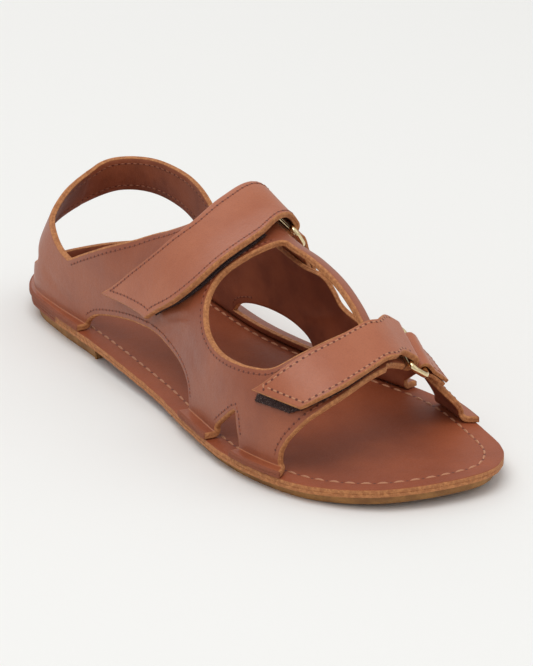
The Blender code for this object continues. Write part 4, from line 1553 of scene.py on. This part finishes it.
@dataclass
class Upper:
    """The hollow upper: two glued layers of leather on the last, creased where it bends."""

    last: Last
    pattern: Pattern
    spacing: float = 0.00125
    rim_inside: float = 0.0007
    seam_inset: float = 0.0023
    pitch: float = 0.0026
    # Creases: station and rise of both ends (stations as shares of LENGTH), width and depth in metres
    creases: tuple[tuple[float, ...], ...] = (
        (0.512, 0.262, 0.606, 0.458, 0.0015, 0.00065),
        (0.524, 0.228, 0.618, 0.398, 0.0014, 0.00060),
        (0.538, 0.205, 0.622, 0.338, 0.0014, 0.00065),
        (0.566, 0.205, 0.644, 0.300, 0.0015, 0.00050),
        (0.496, 0.208, 0.540, 0.285, 0.0014, 0.00050),
        (0.300, 0.060, 0.180, 0.220, 0.0030, 0.00045),
        (0.700, 0.180, 0.640, 0.300, 0.0022, 0.00030),
        (-0.560, 0.220, -0.640, 0.330, 0.0022, 0.00045),
        (-0.340, 0.180, -0.420, 0.420, 0.0026, 0.00040),
        (-0.700, 0.100, -0.730, 0.260, 0.0020, 0.00035),
    )

    def crease_depth(self, points: Array) -> Array:
        """How far the leather dips.

        Each crease is a bell across its line, and fades towards both ends of it.

        Args:
            points: Stations in metres and rises.

        Returns:
            Depths in metres.
        """
        flat = points * (1.0, WALL_WIDE)
        dip = np.zeros(len(points))
        for from_s, from_r, to_s, to_r, width, depth in self.creases:
            start = np.array([from_s * LENGTH, from_r * WALL_WIDE])
            way = np.array([to_s * LENGTH, to_r * WALL_WIDE]) - start
            share = ((flat - start) @ way) / (way @ way)
            bow = 0.0012 * np.sin(np.pi * np.clip(share, 0, 1))
            side = (flat - start) @ np.array([-way[1], way[0]]) / np.linalg.norm(way) - bow
            fade = np.clip(np.sin(np.pi * np.clip(share, 0, 1)), 0, 1) ** 0.7
            dip += depth * fade * np.exp(-((side / width) ** 2))
        return dip

    def face(self, points: Array) -> tuple[Array, Array]:
        """Find the inner face, with the creases pressed in.

        Args:
            points: Stations in metres and rises.

        Returns:
            Places and normals.
        """
        ahead, up = self.last.slopes(points[:, 0], points[:, 1])
        normal = unit(np.cross(ahead, up))
        place = self.last.inner(points[:, 0], points[:, 1])
        return place - normal * self.crease_depth(points)[:, None], normal

    def build(self, bench: Bench) -> None:
        """Make the upper and its seams.

        Args:
            bench: The bench.
        """
        points, faces = self.pattern.sheet(self.spacing, self.rim_inside)
        places, normals = self.face(points)
        corners = np.concatenate([places, normals, points], axis=1)[faces].reshape(-1, 8)
        soup = np.round(corners[:, :3] / 2e-6)
        _, first, index = np.unique(soup, axis=0, return_index=True, return_inverse=True)
        faces = index.reshape(-1, 3)
        faces = faces[(faces != np.roll(faces, 1, axis=1)).all(axis=1)]
        merged = corners[first]
        sheet = ThickSheet(merged[:, :3], merged[:, 3:6], faces, 0.0, WALL, TWO_LAYERS, self.rim_inside)
        piece = sheet.build("upper_leather", merged[:, 6:])
        bench.lay(piece, ["upper", "lining", "raw_edge"], "upper")
        self.sew(bench)

    def sew(self, bench: Bench) -> None:
        """Sew along the cut edges above the footbed: the quarters outside, the heel strap inside.

        Args:
            bench: The bench.
        """
        rows, inner_rows = [], []
        for path in self.pattern.seam_paths(self.last, self.seam_inset):
            path = path[np.abs(path[:, 1]) < 0.99]
            places, normals = self.face(path)
            places = places + normals * WALL
            run = run_of(places)
            steps = np.arange(self.pitch / 2, run[-1], self.pitch)
            at = spread(run, path, steps)
            gap = np.diff(run)[np.clip(np.searchsorted(run, steps) - 1, 0, len(run) - 2)]
            sewn = (self.pattern.depth(at) > 0.55 * self.seam_inset) & (at[:, 1] > 0.055) & (gap < 0.004)
            ahead = np.abs(at[:, 0]) / LENGTH
            row = row_along(places, normals, self.pitch)
            rows.append(row.chosen(sewn & (ahead > 0.27)))
            inside = row.chosen(sewn & (ahead < 0.45))
            inner_rows.append(Row(inside.places - inside.normals * WALL, inside.headings, -inside.normals))
        bench.sew("upper_seam", joined(rows), self.pitch, "thread")
        bench.sew("lining_seam", joined(inner_rows), self.pitch, "lining_thread")


class RingPlace:
    """Where a ring lies: its two long sides, the fold's and the tab's, and its directions."""

    def __init__(self, plan: StrapPlan, last: Last) -> None:
        """Measure the ring's place.

        Args:
            plan: The strap's plan.
            last: The last.
        """
        rear, front = plan.sides(np.array([-plan.ring]))
        self.middle = float((rear + front)[0] / 2)
        self.width = float((front - rear)[0])
        bars = RING_DEPTH - RING_WIRE
        over = np.array([-plan.ring, -plan.ring - bars / WALL_WIDE])
        first, second = last.over(np.full(2, self.middle), over, np.array([FOLD_HEIGHT, TAB_HEIGHT]))
        beside = self.middle + np.array([-0.01, 0.01])
        ends = last.over(beside, np.full(2, over[0]), np.full(2, FOLD_HEIGHT))
        self.down = unit(second - first)
        ahead = ends[1] - ends[0]
        self.ahead = unit(ahead - self.down * (ahead @ self.down))
        self.up = np.cross(self.ahead, self.down)
        self.up *= np.sign(self.up[2])
        self.centre = (first + second) / 2
        self.fold_side = self.centre - self.down * bars / 2
        self.tab_side = self.centre + self.down * bars / 2

    def beside(self, side: Array, ahead: Any, down: Any, up: Any) -> Array:
        """Find places by their distances from the middle of one long side.

        Args:
            side: The middle of that side.
            ahead: Distances towards the toe.
            down: Distances from the ridge down the inner side.
            up: Distances out of the leather.

        Returns:
            The places.
        """
        ahead, down, up = np.broadcast_arrays(ahead, down, up)
        return side + ahead[..., None] * self.ahead + down[..., None] * self.down + up[..., None] * self.up


@dataclass
class Fastening:
    """One strap with its two strips of pile, its ring and its tab."""

    name: str
    plan: StrapPlan
    last: Last
    thread: str
    fold_share: float = 0.12
    seam_inset: float = 0.0023
    pitch: float = 0.0026
    hairs: int = 2600
    pile_end: float = 0.06
    hook_past: float = -0.03
    loop_inset: float = 0.001
    hook_inset: float = 0.0012
    ring_corner: float = 0.0026

    def __post_init__(self) -> None:
        """Find the ring's place."""
        self.ring = RingPlace(self.plan, self.last)

    def strap(self) -> Surface:
        """Shape the strap: over the pile from its tip, then half a turn round the ring.

        Returns:
            Its middle face.
        """
        plan, ring = self.plan, self.ring

        def at(u: Array, v: Array) -> Array:
            """Find the places of shares on the strap.

            Args:
                u: From the tip to the end of the fold.
                v: From the rear edge to the front one.

            Returns:
                The places.
            """
            run = np.minimum(u / (1 - self.fold_share), 1)
            overs = plan.tip - (plan.ring + plan.tip) * run - plan.slant * v * (1 - run) ** 2
            rear, front = plan.sides(overs)
            layer = self.last.over(rear + (front - rear) * v, overs, np.full(overs.shape, OUTER_LAYER))
            ahead = (v - 0.5) * ring.width
            left = (1 - run) * (plan.tip + plan.ring) * WALL_WIDE
            straight = ring.beside(ring.fold_side, ahead, -left, FOLD_RADIUS)
            near = smooth_step(run, 0.72, 1.0)[..., None]
            turn = np.clip((u - 1 + self.fold_share) / self.fold_share, 0, 1) * np.pi
            fold = ring.beside(ring.fold_side, ahead, FOLD_RADIUS * np.sin(turn), FOLD_RADIUS * np.cos(turn))
            flat = layer * (1 - near) + straight * near
            return np.where((u > 1 - self.fold_share)[..., None], fold, flat)

        return Surface(at)

    def pile(self, past: float, level: float, inset: float) -> Surface:
        """One strip of pile between the strap's layers.

        Args:
            past: How far it shows beyond the strap's tip.
            level: Its distance over the inner face.
            inset: Its distance from the strap's long edges.

        Returns:
            The strip's middle face.
        """
        plan = self.plan

        def at(u: Array, v: Array) -> Array:
            """Find places, with u from the tip to the ridge and v from the rear edge to the front one."""
            overs = plan.tip + past - (plan.tip + past - self.pile_end) * u - plan.slant * v * (1 - u) ** 2
            rear, front = plan.sides(overs)
            alongs = rear + inset + (front - rear - 2 * inset) * v
            return self.last.over(alongs, overs, np.full(alongs.shape, level))

        return Surface(at)

    def tab(self) -> Surface:
        """Shape the tab: from its end on the outer layer, round the ring and back under.

        Returns:
            Its middle face.
        """
        plan, ring = self.plan, self.ring
        lie = (CLEAR + TAB_LAYER) / 2
        width = RING_WIDTH - 2 * RING_WIRE - RING_DEPTH / 2
        bar = -plan.ring - (RING_DEPTH - RING_WIRE) / WALL_WIDE
        loop = 0.12

        def at(u: Array, v: Array) -> Array:
            """Find the places of shares on the tab.

            Args:
                u: From the outer layer's end round the loop to the inner layer's end.
                v: From the front edge to the rear one.

            Returns:
                The places.
            """
            away = np.clip(np.abs(2 * u - 1) - loop, 0, 1) / (1 - loop) * plan.tab
            opening = lie + (TAB_LOOP - lie) * (1 - smooth_step(away, 0, TAB_NECK))
            turn = np.clip((u - 0.5) / loop + 0.5, 0, 1) * np.pi
            run = np.where(away > 0, away, -TAB_LOOP * np.sin(turn))
            proud = np.where(away > 0, np.sign(0.5 - u) * opening, TAB_LOOP * np.cos(turn))
            ahead = (0.5 - v) * width
            laid = self.last.over(ring.middle + ahead, bar - run / WALL_WIDE, TAB_HEIGHT + proud)
            straight = ring.beside(ring.tab_side, ahead, run, proud)
            far = smooth_step(run, 0.3 * TAB_NECK, 1.5 * TAB_NECK)[..., None]
            return straight * (1 - far) + laid * far

        return Surface(at)

    def seam(self, surface: Surface, corners: Array, high: float) -> Row:
        """Set stitches along straight runs on a strip.

        Args:
            surface: The strip.
            corners: The runs' ends, as its two shares.
            high: Height over its middle face.

        Returns:
            The row of stitches.
        """
        at = np.linspace(0, len(corners) - 1, 200 * (len(corners) - 1) + 1)
        u, v = (np.interp(at, np.arange(len(corners)), corners[:, k]) for k in (0, 1))
        normals = surface.normal(u, v)
        return row_along(surface.at(u, v) + normals * high, normals, self.pitch)

    def hair(self, surface: Surface, high: float, seed: int) -> Row:
        """Short hairs all over a strip and thicker at its edges, leaning at random.

        Args:
            surface: The strip.
            high: Height of the hairs' feet over its middle face.
            seed: Seed of the random numbers.

        Returns:
            The hairs' places and directions.
        """
        chance = np.random.default_rng(seed)
        u, v = chance.random(self.hairs), chance.random(self.hairs)
        third = self.hairs // 3
        v[:third] = np.round(v[:third])
        u[third : 2 * third] *= 0.12
        normals = surface.normal(u, v)
        lean = unit(normals + 0.9 * chance.normal(size=(self.hairs, 3)))
        side = unit(np.cross(lean, normals + 0.1))
        return Row(surface.at(u, v) + normals * high, lean, side)

    def build(self, bench: Bench) -> None:
        """Make the strap, its pile, ring, tab and seams.

        Args:
            bench: The bench.
        """
        strap = self.strap()
        bend = 1 - self.fold_share
        shares = np.concatenate([np.linspace(0, bend, 64), np.linspace(bend, 1, 20)[1:]])
        half = STRAP_THICK / 2
        sheet = strap.sheet(shares, np.linspace(0, 1, 34), -half, half, STRAP_EDGE)
        piece = sheet.build(self.name + "_strap_leather")
        bench.lay(piece, ["strap", "lining", "raw_edge"], self.name + "_strap")
        edge = self.seam_inset / 0.028
        start = self.seam_inset / 0.062
        corners = np.array([(0.84, edge), (start, edge), (start, 1 - edge), (0.84, 1 - edge)])
        bench.sew(self.name + "_strap_seam", self.seam(strap, corners, half), self.pitch, self.thread)
        self.build_piles(bench)
        self.build_ring(bench)
        tab = self.tab()
        lower, loop, upper = np.linspace(0, 0.44, 20), np.linspace(0.44, 0.56, 17), np.linspace(0.56, 1, 20)
        shares = np.concatenate([lower, loop[1:-1], upper])
        half = TAB_LAYER / 2
        sheet = tab.sheet(shares, np.linspace(0, 1, 17), -half, half, ONE_LAYER)
        piece = sheet.build(self.name + "_tab_leather")
        bench.lay(piece, ["strap", "lining", "raw_edge"], self.name + "_tab")
        box = np.array([(0.05, 0.14), (0.05, 0.86), (0.28, 0.86), (0.28, 0.14), (0.05, 0.14)])
        bench.sew(self.name + "_tab_seam", self.seam(tab, box, half), self.pitch, "thread")

    def build_piles(self, bench: Bench) -> None:
        """Make the loop pile on the lower layer and the hook pile under the strap, with their hairs.

        Args:
            bench: The bench.
        """
        rows = {
            "loop": (self.plan.pile_past, PILE_LEVEL, self.loop_inset),
            "hook": (self.hook_past, HOOK_LEVEL, self.hook_inset),
        }
        for seed, (kind, sizes) in enumerate(rows.items()):
            surface = self.pile(*sizes)
            half = FUZZ_THICK / 2
            sheet = surface.sheet(np.linspace(0, 1, 60), np.linspace(0, 1, 30), -half, half, SOFT_EDGE)
            name = f"{self.name}_{kind}_pile"
            bench.lay(sheet.build(name + "_strip"), ["pile"] * 3, name)
            hairs = self.hair(surface, 0.0, seed)
            bench.lay(repeated(name + "_hairs", hairs, spike(0.00095, 0.00014), 0.0), ["pile"])

    def build_ring(self, bench: Bench) -> None:
        """Sweep the wire round a rectangle with round corners.

        Args:
            bench: The bench.
        """
        ring = self.ring
        half = np.array([RING_WIDTH, RING_DEPTH]) / 2 - RING_WIRE / 2 - self.ring_corner
        turn = np.linspace(0, np.pi / 2, 13)
        corner = self.ring_corner * np.stack([np.cos(turn), np.sin(turn)], axis=1)
        quarters = ((1, 1), (-1, 1), (-1, -1), (1, -1))
        flat = np.concatenate([((half + corner) * q)[:: q[0] * q[1]] for q in quarters])
        path = ring.beside(ring.centre, flat[:, 0], flat[:, 1], 0.0)
        heading = unit(np.roll(path, -1, axis=0) - np.roll(path, 1, axis=0))
        up = np.broadcast_to(ring.up, path.shape)
        places, faces = swept(path, [up, np.cross(heading, up)], RING_WIRE / 2, 20)
        piece = make_piece(self.name + "_ring_wire", places, faces)
        bench.lay(piece, ["metal"], self.name + "_ring")


def spike(length: float, width: float) -> tuple[Array, list[Array]]:
    """Make a thin three-sided spike with a closed foot, along X.

    Args:
        length: Its length.
        width: Width of its foot.

    Returns:
        Its places and faces.
    """
    turn = np.linspace(0, 2 * np.pi, 3, endpoint=False)
    foot = np.stack([0 * turn, np.cos(turn) * width / 2, np.sin(turn) * width / 2], axis=1)
    faces = np.array([(0, 1, 3), (1, 2, 3), (2, 0, 3), (2, 1, 0)])
    return np.vstack([foot, [[length, 0, 0]]]), [faces]


@dataclass
class Sole:
    """The leather footbed and the two outsole pads."""

    last: Last
    pad_inset: float = 0.0022
    pad_taper: float = 0.001
    heel_front: float = 0.078
    heel_skew: float = 0.016
    fore_rear: float = 0.136
    fore_skew: float = 0.006
    stitch_inset: float = 0.0068
    stitch_pitch: float = 0.0056

    def slab(self, name: str, loop: Array, normals: Array, core: tuple[float, float], rows: Any) -> Any:
        """A closed flat solid whose rows run round it.

        Each row is the loop drawn in by an inset and then towards a middle line by a share.

        Args:
            name: The piece's name.
            loop: Its outline.
            normals: The outline's outward normals.
            core: Rear and front end of the middle line.
            rows: Inset, share kept, height function and face number of each row, from the top's middle.

        Returns:
            The piece.
        """
        middle = np.interp(loop[:, 1], (0, 0.3 * LENGTH), (HEEL_CENTRE, 0.0))
        spine = np.stack([middle, np.clip(loop[:, 1], *core)], axis=1)
        places = []
        for inset, share, height, _ in rows:
            flat = spine + (loop - normals * inset - spine) * share
            places.append(np.concatenate([flat, height(flat[:, 1])[:, None]], axis=1))
        index = np.arange(len(rows) * len(loop)).reshape(len(rows), len(loop))
        a, b = index[:-1], index[1:]
        quads = np.stack([a, b, np.roll(b, -1, axis=1), np.roll(a, -1, axis=1)], axis=-1).reshape(-1, 4)
        kinds = np.repeat([row[3] for row in rows[:-1]], len(loop))
        kinds = np.concatenate([kinds, [rows[0][3], rows[-1][3]]])
        return make_piece(name, np.concatenate(places), [quads, index[:1], index[-1:, ::-1]], kinds)

    def build_footbed(self, bench: Bench) -> None:
        """Make the footbed: a smooth top, a hand cut edge in two layers and a plain underside.

        Args:
            bench: The bench.
        """
        loop = outline_loop(620)
        normals = outward(loop)
        turn = np.linspace(0, 2 * np.pi, len(loop), endpoint=False)
        ragged = 0.00006 * (2 + np.sin(41 * turn) + np.sin(67 * turn + 1.0 + np.sin(9 * turn)))[:, None]

        def level(share: float) -> Callable[[Array], Array]:
            """Height function of a share of the footbed's thickness."""
            return lambda along: self.last.sole_bottom(along) + FOOTBED_THICK * share

        shares = (0.05, 0.25, 0.45, 0.65, 0.8, 0.9, 0.97)
        rows = [(0.0012, share, level(1.0), Face.GRAIN) for share in shares]
        rows += [(0.0012, 1.0, level(1.0), Face.GRAIN), (0.00035, 1.0, level(1.0), Face.GRAIN)]
        rows += [(ragged + 0.0001, 1.0, level(0.94), Face.EDGE), (ragged, 1.0, level(0.80), Face.EDGE)]
        rows += [(ragged, 1.0, level(0.52), Face.EDGE), (ragged + 0.00016, 1.0, level(0.47), Face.EDGE)]
        rows += [(ragged, 1.0, level(0.42), Face.EDGE), (ragged, 1.0, level(0.06), Face.EDGE)]
        rows += [(0.0004, 1.0, level(0.0), Face.LINING)]
        rows += [(0.0004, share, level(0.0), Face.LINING) for share in (0.85, 0.55, 0.3, 0.05)]
        core = (0.13 * LENGTH, 0.86 * LENGTH)
        piece = self.slab("footbed_leather", loop, normals, core, rows)
        bench.lay(piece, ["footbed", "lining", "raw_edge"], "footbed")
        line = loop - normals * self.stitch_inset
        line = np.vstack([line, line[:1]])
        places = np.concatenate([line, self.last.sole_top(line[:, 1])[:, None]], axis=1)
        row = row_along(places, np.broadcast_to((0.0, 0.0, 1.0), places.shape), self.stitch_pitch)
        thread = bead(0.8 * self.stitch_pitch, 0.0009, 0.0008, sink=0.00042)
        bench.lay(repeated("footbed_seam_thread", row, thread, 0.0001), ["bright_thread"])
        # Dark beads between stitches: painted shade for the needle holes.
        hole = bead(0.0011, 0.0011, 0.0002)
        between = row.shifted(self.stitch_pitch / 2)
        bench.lay(repeated("footbed_seam_holes", between, hole, 0.0), ["hole"])

    def build_pad(
        self, bench: Bench, node: str, line: float, skew: float, ahead: bool, core: tuple[float, float]
    ) -> None:
        """Make one outsole pad: the footbed's outline on one side of a slanted line.

        Args:
            bench: The bench.
            node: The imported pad.
            line: Place of the line along the foot, at the middle.
            skew: How much further back it lies a ball's width to the outer side.
            ahead: Whether the pad lies ahead of the line.
            core: Rear and front end of its middle line.
        """
        whole = outline_loop(900)
        whole = whole - outward(whole) * self.pad_inset
        past = whole[:, 1] - (line - skew * whole[:, 0] / BALL_WIDTH)
        keep = past > 0 if ahead else past < 0
        first = int(np.flatnonzero(keep & ~np.roll(keep, 1))[0])
        whole, past, count = np.roll(whole, -first, axis=0), np.roll(past, -first), int(keep.sum())

        def met(i: int, j: int) -> Array:
            """Where the line between two places crosses the slanted line."""
            return whole[i] + past[i] / (past[i] - past[j]) * (whole[j] - whole[i])

        start, end = met(-1, 0), met(count - 1, count)
        cut = end + np.linspace(0, 1, 60)[:, None] * (start - end)
        loop = np.vstack([whole[:count], cut])
        normals = outward(loop)

        def top(along: Array) -> Array:
            """Height of the pad's top, just under the footbed."""
            return self.last.sole_bottom(along) - CLEAR

        def level(share: float) -> Callable[[Array], Array]:
            """Height function of a share of the pad's thickness."""
            return lambda along: share * top(along) + (1 - share) * self.last.toe_spring(along)

        rows = [(0.0, share, top, 0) for share in (0.06, 0.4, 0.8, 1.0)]
        sides = ((0.97, 0.0), (0.8, 0.0001), (0.5, 0.0004), (0.2, 0.0008), (0.05, 0.00095))
        rows += [(inset, 1.0, level(share), 0) for share, inset in sides]
        rows += [(self.pad_taper + 0.0001, share, level(0.0), 0) for share in (1.0, 0.8, 0.4, 0.06)]
        piece = self.slab(node + "_rubber", loop, normals, core, rows)
        bench.lay(piece, ["rubber"], node)

    def build(self, bench: Bench) -> None:
        """Make the footbed, its seam and both pads.

        Args:
            bench: The bench.
        """
        self.build_footbed(bench)
        self.build_pad(bench, "outsole_heel", self.heel_front, self.heel_skew, False, (0.03, 0.05))
        self.build_pad(bench, "outsole_forefoot", self.fore_rear, self.fore_skew, True, (0.175, 0.215))


@dataclass
class Studio:
    """The pale floor, the soft lights and the camera at the photo's angle."""

    azimuth: float = 145.0
    elevation: float = 21.3
    distance: float = 1.405
    lens: float = 212.0
    aim: tuple[float, float, float] = (-0.004, 0.012, 0.025)
    floor_size: float = 6.0

    def floor(self) -> bpy.types.Object:
        """Lay the floor.

        Returns:
            The floor object.
        """
        half = self.floor_size / 2
        mesh = bpy.data.meshes.new("floor")
        corners = [(-half, -half, 0), (half, -half, 0), (half, half, 0), (-half, half, 0)]
        mesh.from_pydata(corners, [], [(0, 1, 2, 3)])
        tree = ShaderTree("floor_paint")
        tree.shader.inputs["Base Color"].default_value = (*linear(238, 238, 236), 1)
        tree.shader.inputs["Roughness"].default_value = 0.9
        mesh.materials.append(tree.material)
        made = bpy.data.objects.new("floor", mesh)
        bpy.context.scene.collection.objects.link(made)
        return made

    def light(self, name: str, place: Colour, size: float, power: float) -> None:
        """Hang one soft square light that faces the shoe.

        Args:
            name: The light's name.
            place: Where it hangs, in metres.
            size: Its side in metres.
            power: Its power in watts.
        """
        data = bpy.data.lights.new(name, "AREA")
        data.size = size
        data.energy = power
        made = bpy.data.objects.new(name, data)
        made.location = place
        made.rotation_euler = (Vector((0, 0, 0.02)) - Vector(place)).to_track_quat("-Z", "Y").to_euler()
        bpy.context.scene.collection.objects.link(made)

    def world(self) -> None:
        """Fill the room with even pale light."""
        made = bpy.data.worlds.new("room")
        made.use_nodes = True
        made.node_tree.nodes["Background"].inputs["Color"].default_value = (1.0, 0.995, 0.985, 1)
        made.node_tree.nodes["Background"].inputs["Strength"].default_value = 0.62
        bpy.context.scene.world = made

    def camera(self) -> None:
        """Place the camera on the photo's line of sight."""
        turn, rise = math.radians(self.azimuth), math.radians(self.elevation)
        back = Vector((math.sin(turn), -math.cos(turn), 0)) * math.cos(rise) + Vector((0, 0, math.sin(rise)))
        data = bpy.data.cameras.new("camera")
        data.lens = self.lens
        data.sensor_width = 36.0
        data.sensor_fit = "VERTICAL"
        data.sensor_height = 36.0
        made = bpy.data.objects.new("camera", data)
        aim = Vector(self.aim)
        made.location = aim + back * self.distance
        made.rotation_euler = (aim - made.location).to_track_quat("-Z", "Y").to_euler()
        bpy.context.scene.collection.objects.link(made)
        bpy.context.scene.camera = made

    def build(self) -> None:
        """Set the whole stage."""
        bpy.context.scene.view_settings.view_transform = "Standard"
        self.floor()
        self.world()
        self.light("key", (0.5, 0.3, 1.7), 1.4, 14.0)
        self.light("fill", (-1.2, 1.0, 1.2), 1.6, 3.5)
        self.light("back", (-0.3, -1.4, 1.0), 1.2, 3.5)
        self.camera()


def main() -> None:
    """Load the frame, make the shoe's pieces and set the stage."""
    logging.basicConfig(level=logging.INFO, format="%(message)s")
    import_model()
    bench, last = Bench(), Last()
    Sole(last).build(bench)
    Upper(last, Pattern()).build(bench)
    Fastening("ankle", ANKLE, last, "thread").build(bench)
    Fastening("forefoot", FOREFOOT, last, "bright_thread").build(bench)
    Studio().build()


if __name__ == "__main__":
    main()
